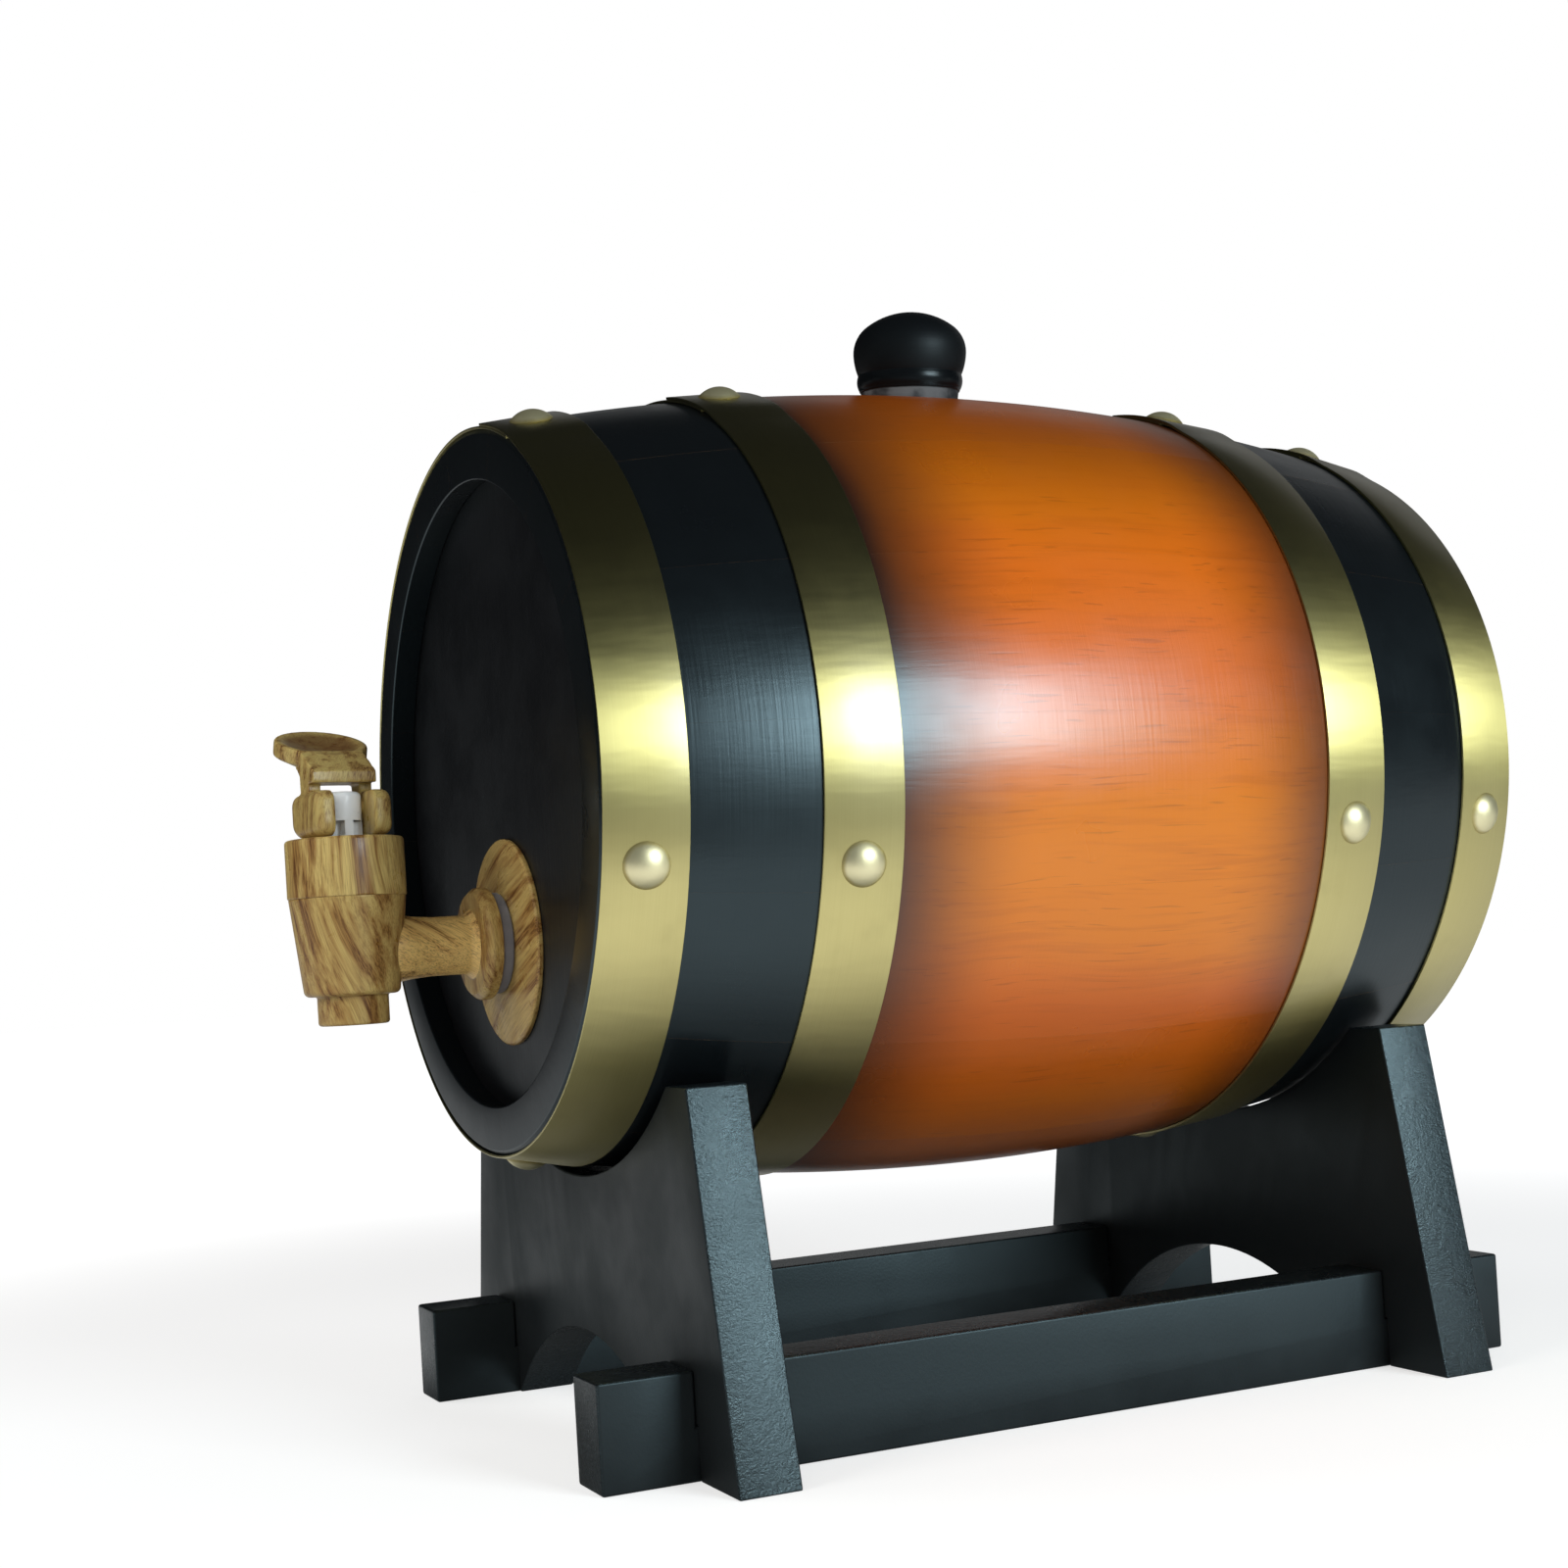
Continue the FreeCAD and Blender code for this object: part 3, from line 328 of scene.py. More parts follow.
spray_drift = step_up(tree, cloud(tree, stretched(tree, around, (70, 70, 70))), 0.25, 0.75, -2.5, 2.5)
sprayed = maths(tree, "ADD", from_middle, maths(tree, "MULTIPLY_ADD", upward, 6.0, spray_drift))
burst = mixed(tree, step_up(tree, sprayed, 29.0, 78.0), amber, (0.085, 0.022, 0.004))
burst = mixed(tree, step_up(tree, sprayed, 68.0, 82.0), burst, (0.004, 0.005, 0.006))
planing = cloud(tree, stretched(tree, around, (30, 0.9, 30)))
pored = maths(tree, "SUBTRACT", times(tree, planing, 0.5), times(tree, grain["Pore"], 0.06))
surface_height = maths(tree, "MULTIPLY_ADD", grain["Line"], 0.6, pored)
feed(tree, shader, {
    "Base Color": burst,
    "Roughness": rubbed_roughness(tree, marks_on(tree, around, 34.0), 0.27, 0.34),
    "Normal": relief(tree, surface_height, 0.00006),
})

raw_oak, tree, shader = new_finish("raw_oak", Roughness=0.8, Specular_IOR_Level=0.3)
around = millimetres(tree, cask_middle)
grain = grain_on(tree, around, 1.6, 34.0, 6.0)
oak = mixed(tree, grain["Tone"], (0.40, 0.25, 0.12), (0.26, 0.14, 0.06))
oak = mixed(tree, step_up(tree, grain["Line"], 0.45, 0.7), oak, (0.16, 0.08, 0.03))
oak = mixed(tree, grain["Pore"], oak, (0.06, 0.03, 0.012))
feed(tree, shader, {"Base Color": oak, "Normal": relief(tree, grain["Line"], 0.0002)})


def stave_section():
    """Outline of a stave cut lengthways, as points (radius, along)."""
    groove = head_face + croze_play
    groove_back = head_face - head_edge - croze_play
    groove_floor = cask_radius(head_face, stave_wall) + croze_depth
    bevel_start = cask_half_length - chime_bevel
    outer = bowed_run(-bevel_start, bevel_start, 0, 64)
    near_end = eased([
        outer[-1],
        (end_radius - chime_bevel, cask_half_length, chime_corner),
        (cask_radius(cask_half_length, stave_wall), cask_half_length, chime_corner),
        (cask_radius(groove, stave_wall), groove),
    ])[1:]
    bore = [(groove_floor, groove), (groove_floor, groove_back),
            *bowed_run(groove_back, -groove_back, stave_wall, 40),
            (groove_floor, -groove_back), (groove_floor, -groove)]
    far_end = [(radius, -along) for radius, along in reversed(near_end)]
    return outer + near_end + bore + far_end


def between_heads(centre):
    """Whether a face of a stave lies between the heads and under the lacquered skin."""
    skin = 0.004
    return abs(centre.y) < head_face and hypot(centre.x, centre.z) < cask_radius(centre.y) - skin


def stave_mesh(name):
    """One stave on the +X side of the cask's axis, whose bare faces are marked as inside."""
    points = stave_section()
    half = stave_pitch / 2 - stave_joint
    turns = [-half + 2 * half * step / 8 for step in range(9)]
    rings = [[(radius * cos(turn), along, radius * sin(turn)) for radius, along in points] for turn in turns]
    mesh = lofted(name, rings, joined=False)
    coated(mesh, lacquer, raw_oak)
    inside = mesh.attributes.new("inside", "BOOLEAN", "FACE")
    for face in mesh.polygons:
        inside.data[face.index].value = between_heads(face.center)
    return mesh


def new_nodes_tree(name, numbers, materials):
    """A Geometry Nodes tree with named inputs for its numbers and materials."""
    tree = bpy.data.node_groups.new(name, "GeometryNodeTree")
    tree.interface.new_socket("Geometry", in_out="INPUT", socket_type="NodeSocketGeometry")
    for label, kind in numbers.items():
        tree.interface.new_socket(label, in_out="INPUT", socket_type=f"NodeSocket{kind}")
    for label in materials:
        tree.interface.new_socket(label, in_out="INPUT", socket_type="NodeSocketMaterial")
    tree.interface.new_socket("Geometry", in_out="OUTPUT", socket_type="NodeSocketGeometry")
    return tree, add(tree, "NodeGroupInput").outputs, add(tree, "NodeGroupOutput")


def grown(piece, tree, inputs):
    """Runs a Geometry Nodes tree on a piece with these inputs and keeps the plain mesh that it makes."""
    growth = piece.modifiers.new(tree.name, "NODES")
    growth.node_group = tree
    for item in tree.interface.items_tree:
        if item.item_type == "SOCKET" and item.in_out == "INPUT" and item.name in inputs:
            growth[item.identifier] = inputs[item.name]
    return made_plain(piece)


def set_round(tree, instances, turn, middle):
    """Turns instances about the cask's axis, makes them real and moves them to the cask's middle."""
    turned_round = add(tree, "GeometryNodeRotateInstances", {
        "Instances": instances, "Rotation": combined(tree, Y=times(tree, turn, -1.0)),
        "Local Space": False})
    real = add(tree, "GeometryNodeRealizeInstances", {"Geometry": turned_round.outputs[0]})
    moved = add(tree, "GeometryNodeTransform", {"Geometry": real.outputs[0], "Translation": middle})
    return moved.outputs[0]


ring_tree, entry, leave = new_nodes_tree("Ring of staves", {
    "Stave Count": "Int", "Pitch": "Float", "First Stave": "Float", "Cask Middle": "Vector"},
    ["Lacquer", "Raw Oak"])
places = add(ring_tree, "GeometryNodeMeshLine", {"Count": entry["Stave Count"], "Offset": (0, 0, 0)})
stood = add(ring_tree, "GeometryNodeInstanceOnPoints", {
    "Points": places.outputs["Mesh"], "Instance": entry["Geometry"]})
number = add(ring_tree, "GeometryNodeInputIndex").outputs[0]
stave_turn = maths(ring_tree, "MULTIPLY_ADD", number, entry["Pitch"], entry["First Stave"])
lacquered = add(ring_tree, "GeometryNodeSetMaterial", {
    "Geometry": set_round(ring_tree, stood.outputs[0], stave_turn, entry["Cask Middle"]),
    "Material": entry["Lacquer"]})
is_inside = add(ring_tree, "GeometryNodeInputNamedAttribute", {"Name": "inside"}, data_type="BOOLEAN")
bared = add(ring_tree, "GeometryNodeSetMaterial", {
    "Geometry": lacquered.outputs[0], "Material": entry["Raw Oak"], "Selection": is_inside.outputs[0]})
feed(ring_tree, leave, {"Geometry": bared.outputs[0]})

stave_ring = grown(shown("stave_ring", stave_mesh("stave")), ring_tree, {
    "Stave Count": stave_count - 1, "Pitch": stave_pitch, "First Stave": bung_angle + stave_pitch,
    "Cask Middle": cask_middle, "Lacquer": lacquer, "Raw Oak": raw_oak})
settle(stave_ring, "barrel", "staves")

# -------- the bung stave
# The stave nearest the top has a tapered hole bored through it near its middle, square to the face, for
# the bung. The cask lies a little turned, so the hole leans towards +X. The bore is left bare.

bung_low, bung_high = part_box("bung")
bung_offset = (bung_low.y + bung_high.y) / 2 - cask_middle.y
bung_hole_radius = 0.0155
bung_taper = 0.1
margin = 0.0005
bung_turn = Matrix.Translation(cask_middle) @ Matrix.Rotation(-bung_angle, 4, "Y")


def turned(name, outline, middle, axis="Z", steps=128, crisp=35):
    """A solid turned on a lathe from an outline of (radius, along) about an axis through a middle."""
    rings = []
    for step in range(steps):
        turn = tau * step / steps
        ring = []
        for radius, along in outline:
            across, up = radius * cos(turn), radius * sin(turn)
            offset = {"X": (along, across, up), "Y": (across, along, up), "Z": (across, up, along)}[axis]
            ring.append(Vector(offset) + middle)
        rings.append(ring)
    return lofted(name, rings, joined=True, crisp=crisp)


def reshaped(piece, operation, name, mesh):
    """Cuts a second solid out of a piece, or fuses it on."""
    other = shown(name, mesh)
    change = piece.modifiers.new(name, "BOOLEAN")
    change.object = other
    change.operation = operation
    change.solver = "EXACT"
    made_plain(piece)
    bpy.data.objects.remove(other)
    closed_up(piece.data)


def cut_away(piece, name, outline, middle, axis="Z", steps=96):
    """Bores a turned shape out of a piece."""
    reshaped(piece, "DIFFERENCE", name, turned(name, outline, middle, axis, steps))


bung_stave = shown("bung_stave_board", stave_mesh("bung_stave_board"))
hole_reach = 2 * stave_wall
cut_away(bung_stave, "bung_hole", [
    (0, -hole_reach), (bung_hole_radius - bung_taper * hole_reach, -hole_reach),
    (bung_hole_radius + bung_taper * chime_bevel, chime_bevel), (0, chime_bevel)],
    Vector((belly_radius, bung_offset, 0)), "X")
for face in bung_stave.data.polygons:
    near_hole = hypot(face.center.z, face.center.y - bung_offset) < bung_hole_radius + margin
    bored = near_hole and abs(face.normal.x) < 0.5
    face.material_index = 1 if bored or between_heads(face.center) else 0
bung_stave.data.transform(bung_turn)
settle(bung_stave, "barrel", "bung_stave")

# -------- the heads
# Each head is a flat oak board whose thin edge sits in the croze and whose back edge is bevelled.
# The outside is sprayed black with the chime; the front head is bored for the tap.

head_thickness = 0.012
tap_low, tap_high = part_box("tap_escutcheon")
tap_middle = Vector((0, -0.164, (tap_low.z + tap_high.z) / 2))
tail_hole = 0.0082

black_lacquer, tree, shader = new_finish(
    "black_lacquer", Specular_IOR_Level=0.45, Specular_Tint=(0.7, 0.93, 1.0), IOR=1.5)
marks = marks_on(tree, millimetres(tree), 24.0)
grain = grain_on(tree, millimetres(tree, turn=(90, 0, 0)), 1.8, 40.0, 6.0)
black = mixed(tree, marks["Smudge"], (0.004, 0.004, 0.005), (0.009, 0.009, 0.010))
black = mixed(tree, times(tree, marks["Speck"], 0.3), black, (0.09, 0.10, 0.11))
feed(tree, shader, {
    "Base Color": black,
    "Roughness": rubbed_roughness(tree, marks, 0.36, 0.46),
    "Normal": relief(tree, maths(tree, "ADD", grain["Line"], times(tree, marks["Smudge"], 0.5)), 0.00008),
})


def head_board(node, side):
    """A head on the -Y side (side -1) or the +Y side (side 1) of the cask; the front one is bored."""
    edge_back = head_face - head_edge
    back = head_face - head_thickness
    rim = cask_radius(head_face, stave_wall) + croze_depth - croze_play
    inner = cask_radius(edge_back, stave_wall)
    outline = eased([
        (0, side * back),
        (inner - head_thickness / 2, side * back),
        (inner - croze_play, side * edge_back),
        (rim, side * edge_back, 0.0004),
        (rim, side * head_face, 0.0004),
        (0, side * head_face),
    ])
    board = shown(f"{node}_board", turned(f"{node}_board", outline, cask_middle, "Y", 160))
    coated(board.data, black_lacquer, raw_oak)
    if node == "front_head":
        cut_away(board, "tap_hole", [(0, -0.03), (tail_hole, -0.03), (tail_hole, 0.03), (0, 0.03)],
                 Vector((0, cask_middle.y - head_face, tap_middle.z)), "Y")
    for face in board.data.polygons:
        face.material_index = 0 if side * (face.center.y - cask_middle.y) > head_face - margin else 1
    settle(board, "barrel", node)


head_board("front_head", -1)
head_board("rear_head", 1)

# -------- the hoops
# Four flat brass straps are driven onto the taper. Each is bent into a ring whose end laps over its
# start, and is brushed round the cask. The lap is nailed at the top.

hoop_thickness = 0.0008
hoop_play = 0.00012
hoop_corner = 0.0002
lap_gap = 0.00002
lap_angle = radians(13)
top_nail_angle = radians(70)
rear_turn = radians(3)
end_hoop = (0.1283, 0.1508)
bilge_hoop = (0.0702, 0.0927)

# Lines left by a brush or a lathe: they run round the position's Y axis.
brush_lines, entry, leave = new_group("Brush lines", {"Line Width": 0.3}, ["Scratch"])
line_size = combined(brush_lines, X=45.0, Y=entry["Line Width"], Z=45.0)
along_lines = stretched(brush_lines, entry["Position"], line_size)
feed(brush_lines, leave, {"Scratch": cloud(brush_lines, along_lines, 1.0, 3.0, 0.7)})

brass, tree, shader = new_finish(
    "brushed_brass", Metallic=1.0, Anisotropic=0.82, Anisotropic_Rotation=0.25, Coat_Weight=1.0,
    Coat_Roughness=0.26, Coat_IOR=1.5)
around = millimetres(tree, cask_middle)
lines = placed_group(tree, brush_lines, {"Position": around, "Line Width": 0.22})
marks = marks_on(tree, around, 18.0)
ripple = cloud(tree, stretched(tree, around, (7, 50, 7)))
gold = mixed(tree, lines["Scratch"], (0.66, 0.585, 0.225), (0.74, 0.67, 0.28))
gold = mixed(tree, step_up(tree, marks["Smudge"], 0.55, 0.8, 0.0, 0.18), gold, (0.42, 0.35, 0.13))
feed(tree, shader, {
    "Base Color": gold,
    "Roughness": rubbed_roughness(tree, marks, 0.46, 0.51),
    "Normal": relief(tree, maths(tree, "ADD", times(tree, lines["Scratch"], 0.1), ripple), 0.00011),
    "Tangent": add(tree, "ShaderNodeTangent", direction_type="RADIAL", axis="Y").outputs[0],
})


def clamped(share):
    return min(max(share, 0), 1)


def hoop_strap(name, side, span, turn):
    """A strap from its under end, once round, up over its own start and on to the end of the lap."""
    near, far = (side * edge for edge in span)
    foot, tip = Vector((cask_radius(near), near)), Vector((cask_radius(far), far))
    along = (tip - foot).normalized()
    out = Vector((along.y, -along.x)) * side
    width = (tip - foot).length
    section = eased([(0, 0, hoop_corner), (width, 0, hoop_corner), (width, hoop_thickness, hoop_corner),
                     (0, hoop_thickness, hoop_corner)], steps=3)
    start = top_nail_angle - lap_angle / 2 + turn
    rise_end = tau - radians(0.6)
    rise_start = rise_end - radians(6)
    steps = 250
    rings = []
    for step in range(steps + 1):
        path = (tau + lap_angle) * step / steps
        share = clamped((path - rise_start) / (rise_end - rise_start))
        lift = hoop_play + (hoop_thickness + lap_gap) * share * share * (3 - 2 * share)
        angle = start + path
        ring = []
        for run, height in section:
            radius, y = foot + along * run + out * (height + lift)
            ring.append(Vector((radius * cos(angle), y, radius * sin(angle))) + cask_middle)
        rings.append(ring)
    return shown(name, lofted(name, rings, joined=False))


hoops = {
    "front_end": (-1, end_hoop, 0.0),
    "front_bilge": (-1, bilge_hoop, 0.0),
    "rear_bilge": (1, bilge_hoop, rear_turn),
    "rear_end": (1, end_hoop, rear_turn),
}
for place_name, (side, span, turn) in hoops.items():
    strap = hoop_strap(f"{place_name}_hoop_strap", side, span, turn)
    settle(strap, "barrel", f"hoop_{place_name}", brass)

# -------- the nails
# Four domed brass nails hold each hoop, the top one through the lap. The domes are polished by wear
# and dark with old lacquer round the rim.

nail_head_radius = 0.00635
nail_head_height = 0.0029
nail_radius = 0.0011
nail_length = 0.011
nail_angles = {"Top Angle": 70, "Side Angle": -14.5, "Bottom Angle": -93, "Back Angle": 165}

nail_brass, tree, shader = new_finish("polished_nail_brass", Metallic=0.85)
rim = add(tree, "ShaderNodeAttribute", attribute_name="rim").outputs["Fac"]
marks = marks_on(tree, millimetres(tree), 5.0)
patina = step_up(tree, maths(tree, "MULTIPLY_ADD", marks["Smudge"], 0.16, rim), 0.88, 1.08)
feed(tree, shader, {
    "Base Color": mixed(tree, patina, (0.86, 0.80, 0.50), (0.50, 0.42, 0.17)),
    "Roughness": step_up(tree, patina, 0.0, 1.0, 0.44, 0.55),
    "Normal": relief(tree, marks["Smudge"], 0.00008),
})


def nail_mesh():
    """A nail along +X with the underside of its head at the origin."""
    curve = (nail_head_radius**2 + nail_head_height**2) / (2 * nail_head_height)
    reach = asin(nail_head_radius / curve)
    turns = [reach * step / 10 for step in range(11)]
    dome = [(curve * sin(turn), nail_head_height - curve + curve * cos(turn)) for turn in turns]
    outline = dome + [
        (nail_head_radius - 0.0001, -0.00012),
        (nail_radius, -0.0001),
        (nail_radius, -nail_length + 0.003),
        (0, -nail_length),
    ]
    mesh = turned("nail", outline, Vector((0, 0, 0)), "X", 40, 50)
    rim = mesh.attributes.new("rim", "FLOAT", "POINT")
    for point in mesh.vertices:
        rim.data[point.index].value = hypot(point.co.y, point.co.z) / nail_head_radius
    return mesh


nail_tree, entry, leave = new_nodes_tree("Hoop nails", {
    "Along": "Float", "Seat Radius": "Float", "Lap Height": "Float", "Slope": "Float", "Turn": "Float",
    "Cask Middle": "Vector", **{label: "Float" for label in nail_angles}}, ["Brass"])
number = add(nail_tree, "GeometryNodeInputIndex").outputs[0]
angle_switch = add(nail_tree, "GeometryNodeIndexSwitch", data_type="FLOAT")
while len(angle_switch.index_switch_items) < len(nail_angles):
    angle_switch.index_switch_items.new()
feed(nail_tree, angle_switch, {"Index": number, **{
    order: entry[label] for order, label in enumerate(nail_angles, start=1)}})
on_lap = maths(nail_tree, "COMPARE", number, 0.0, 0.5)
seat = maths(nail_tree, "MULTIPLY_ADD", on_lap, entry["Lap Height"], entry["Seat Radius"])
nail_points = add(nail_tree, "GeometryNodeMeshLine", {"Count": len(nail_angles), "Offset": (0, 0, 0)})
seated = add(nail_tree, "GeometryNodeSetPosition", {
    "Geometry": nail_points.outputs["Mesh"], "Position": combined(nail_tree, X=seat, Y=entry["Along"])})
stood = add(nail_tree, "GeometryNodeInstanceOnPoints", {
    "Points": seated.outputs[0], "Instance": entry["Geometry"],
    "Rotation": combined(nail_tree, Z=entry["Slope"])})
nail_turn = maths(nail_tree, "ADD", angle_switch.outputs[0], entry["Turn"])
brassed = add(nail_tree, "GeometryNodeSetMaterial", {
    "Geometry": set_round(nail_tree, stood.outputs[0], nail_turn, entry["Cask Middle"]),
    "Material": entry["Brass"]})
feed(nail_tree, leave, {"Geometry": brassed.outputs[0]})

for place_name, (side, span, turn) in hoops.items():
    along = side * (span[0] + span[1]) / 2
    nails = grown(shown(f"{place_name}_hoop_nails", nail_mesh()), nail_tree, {
        "Along": along,
        "Seat Radius": (cask_radius(span[0]) + cask_radius(span[1])) / 2 + hoop_play + hoop_thickness,
        "Lap Height": hoop_thickness, "Slope": asin(along / bow_radius), "Turn": turn,
        "Cask Middle": cask_middle, "Brass": nail_brass,
        **{label: radians(angle) for label, angle in nail_angles.items()}})
    settle(nails, "barrel", f"nails_{place_name}")

# -------- the bung
# A turned wooden bung closes the top hole: a tapered tail, a bead, a waist and a domed head to lift it
# by. The head and bead are gloss black; the tail below the bead is rubbed dull where it grips.

bung_black, tree, shader = new_finish(
    "bung_gloss_black", Specular_IOR_Level=0.25, Specular_Tint=(0.8, 0.95, 1.0), IOR=1.5)
bung_seat = bung_turn @ Vector((belly_radius, bung_offset, 0))
bung_lean = 90 - degrees(bung_angle)
place = millimetres(tree, bung_seat, (0, bung_lean, 0))
height_up = add(tree, "ShaderNodeSeparateXYZ", {0: place}).outputs["Z"]
marks = marks_on(tree, place, 9.0)
dull = step_up(tree, maths(tree, "MULTIPLY_ADD", marks["Smudge"], 0.8, height_up), 2.5, 3.1, 1.0, 0.0)
turning = placed_group(tree, brush_lines, {
    "Position": millimetres(tree, bung_seat, (90, bung_lean, 0)), "Line Width": 0.5})
head_gloss = step_up(tree, height_up, 7.2, 9.0, 0.24, 0.5)
rubbed = mixed(tree, step_up(tree, marks["Smudge"], 0.35, 0.65), (0.022, 0.023, 0.025),
               (0.115, 0.117, 0.122))
feed(tree, shader, {
    "Base Color": mixed(tree, dull, (0.004, 0.005, 0.006), rubbed),
    "Roughness": step_up(tree, maths(tree, "ADD", dull, step_up(
        tree, marks["Smudge"], 0.35, 0.7, 0.0, 0.16)), 0.0, 1.0, head_gloss, 0.62),
    "Normal": relief(tree, maths(tree, "ADD", turning["Scratch"], marks["Smudge"]), 0.00004),
})


def arc_to(start, end, radius, steps=8):
    """Points of an arc that bulges to the right of the way from start to end, its end left out."""
    start, end = Vector(start), Vector(end)
    chord = end - start
    left = Vector((-chord.y, chord.x)).normalized()
    centre = (start + end) / 2 + left * sqrt(max(radius**2 - chord.length**2 / 4, 0))
    first = atan2(start.y - centre.y, start.x - centre.x)
    last = atan2(end.y - centre.y, end.x - centre.x)
    if last < first:
        last += tau
    turns = [first + (last - first) * step / steps for step in range(steps)]
    return [(centre.x + radius * cos(turn), centre.y + radius * sin(turn)) for turn in turns]


bung_outline = [
    *eased([(0, -0.020), (0.01345, -0.020, 0.001), (0.01570, 0.0025)]),
    *arc_to((0.01585, 0.0025), (0.01615, 0.0030), 0.0005, 4),
    *arc_to((0.01615, 0.0030), (0.01662, 0.0078), 0.0055),
    *arc_to((0.01662, 0.0079), (0.0181, 0.0149), 0.0193),
    *arc_to((0.0181, 0.0149), (0.0141, 0.0229), 0.0100, 12),
    *arc_to((0.0141, 0.0229), (0, 0.0276), 0.0235, 12),
    (0, 0.0276)]
bung_knob = shown("bung_knob", turned(
    "bung_knob", bung_outline, Vector((belly_radius, bung_offset, 0)), "X", 128, 25))
bung_knob.data.transform(bung_turn)
settle(bung_knob, "bung", "bung", bung_black)

# -------- the tap: its fixing
# The tap is clamped in the front head between an escutcheon and a soft washer outside, and a second
# washer and a hexagonal nut inside. The escutcheon is a shallow moulded cone with a rolled rim.


def film(name, turn, middle, pale=(0.56, 0.395, 0.135), deep=(0.34, 0.18, 0.05)):
    """Moulded plastic printed with a wood film: olive ground, long wandering dark veins, satin gloss."""
    material, tree, shader = new_finish(name, Specular_IOR_Level=0.36, IOR=1.48)
    place = millimetres(tree, middle, turn)
    broad = grain_on(tree, place, 3.4, 52.0, 14.0)
    fine = grain_on(tree, place, 0.36, 34.0, 10.0)
    marks = marks_on(tree, place, 8.0)
    colour = mixed(tree, step_up(tree, broad["Line"], 0.38, 0.64), pale, deep)
    colour = mixed(tree, step_up(tree, fine["Line"], 0.44, 0.68, 0.0, 0.55), colour, (0.20, 0.095, 0.027))
    veins = times(tree, step_up(tree, broad["Line"], 0.52, 0.66), step_up(
        tree, fine["Line"], 0.38, 0.58, 0.0, 0.85))
    colour = mixed(tree, veins, colour, (0.10, 0.034, 0.011))
    colour = mixed(tree, times(tree, fine["Pore"], 0.35), colour, (0.07, 0.026, 0.009))
    height = maths(tree, "MULTIPLY_ADD", fine["Line"], 0.3, marks["Smudge"])
    feed(tree, shader, {
        "Base Color": colour,
        "Roughness": rubbed_roughness(tree, marks, 0.26, 0.40),
        "Normal": relief(tree, height, 0.00006),
    })
    return material, tree, shader, colour


def cloudy(name, size, dark, light, depth, **sockets):
    """Plain rubber or plastic that is a little cloudy, with the cloud's size and the relief's depth."""
    material, tree, shader = new_finish(name, **sockets)
    marks = marks_on(tree, millimetres(tree), size)
    feed(tree, shader, {
        "Base Color": mixed(tree, marks["Smudge"], dark, light),
        "Normal": relief(tree, marks["Smudge"], depth),
    })
    return material, tree, shader, marks


soft_grey = cloudy("washer_rubber", 4.0, (0.19, 0.19, 0.21), (0.27, 0.27, 0.30), 0.00005,
                   Roughness=0.6, Specular_IOR_Level=0.35)[0]


def ring_on_shank(name, start, corners, material, node):
    """A ring about the shank: corners are (radius, distance behind its start, rounding)."""
    outline = eased([(radius, start + along, *rest) for radius, along, *rest in corners])
    ring = shown(name, turned(name, outline, tap_middle, "Y", 112))
    settle(ring, "barrel", node, material)


escutcheon_film = film("film_on_escutcheon", (27, 0, -90), tap_middle)[0]
tap_reach = 0.0487
escutcheon_depth = 0.0033
escutcheon_front = tap_reach - escutcheon_depth
outer_washer = 0.0038
inner_washer = 0.0022
flange_back = escutcheon_front - outer_washer
nut_front = tap_reach + head_thickness + inner_washer
ring_on_shank("escutcheon_plate", escutcheon_front, [
    (tail_hole, 0, 0.0003), (0.0156, 0, 0.0012), (0.0303, 0.0014, 0.0006), (0.0310, 0.0020, 0.0005),
    (0.0310, escutcheon_depth, 0.0004), (tail_hole, escutcheon_depth)],
    escutcheon_film, "tap_escutcheon")
for place_name, start, thickness in (("outer", flange_back, outer_washer),
                                     ("inner", tap_reach + head_thickness, inner_washer)):
    ring_on_shank(f"{place_name}_washer_ring", start, [
        (tail_hole, 0, 0.0005), (0.0151, 0, 0.0008), (0.0151, thickness, 0.0008),
        (tail_hole, thickness, 0.0005)], soft_grey, f"tap_washer_{place_name}")


def clean_copy(name, node, bevel, segments=2):
    """A copy of a node's solid with its flat faces made whole and its corners eased by a bevel."""
    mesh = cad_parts[node].data.copy()
    mesh.name = name
    mesh.materials.clear()
    shell = bmesh.new()
    shell.from_mesh(mesh)
    bmesh.ops.remove_doubles(shell, verts=shell.verts, dist=1e-6)
    bmesh.ops.dissolve_limit(shell, angle_limit=radians(0.6), verts=shell.verts, edges=shell.edges)
    shell.to_mesh(mesh)
    shell.free()
    copy = shown(name, mesh)
    if bevel:
        ease = copy.modifiers.new("eased edges", "BEVEL")
        ease.width = bevel
        ease.segments = segments
        ease.limit_method = "ANGLE"
        ease.angle_limit = radians(30)
        ease.harden_normals = True
    mesh.shade_smooth()
    return made_plain(copy)


nut_film = film("film_on_lock_nut", (0, 0, 0), tap_middle)[0]
lock_nut = clean_copy("lock_nut_hexagon", "tap_lock_nut", 0.0005)
settle(lock_nut, "barrel", "tap_lock_nut", nut_film)

# -------- the tap: its body
# One moulding: a tapered cup with the nozzle under it and a threaded neck over it, and a shank that
# runs back through a round flange to a threaded tail. The bore through the tail ends in the chamber
# of the cup, above the seat that the seal shuts.

flange_front = flange_back - 0.005
tail_back = nut_front + 0.012
thread_start = flange_back + 0.014
thread_pitch = 0.0019
thread_turns = 11
tail_radius = 0.0080
thread_root = 0.0074
cup_top = 0.0156
neck_radius = 0.0142

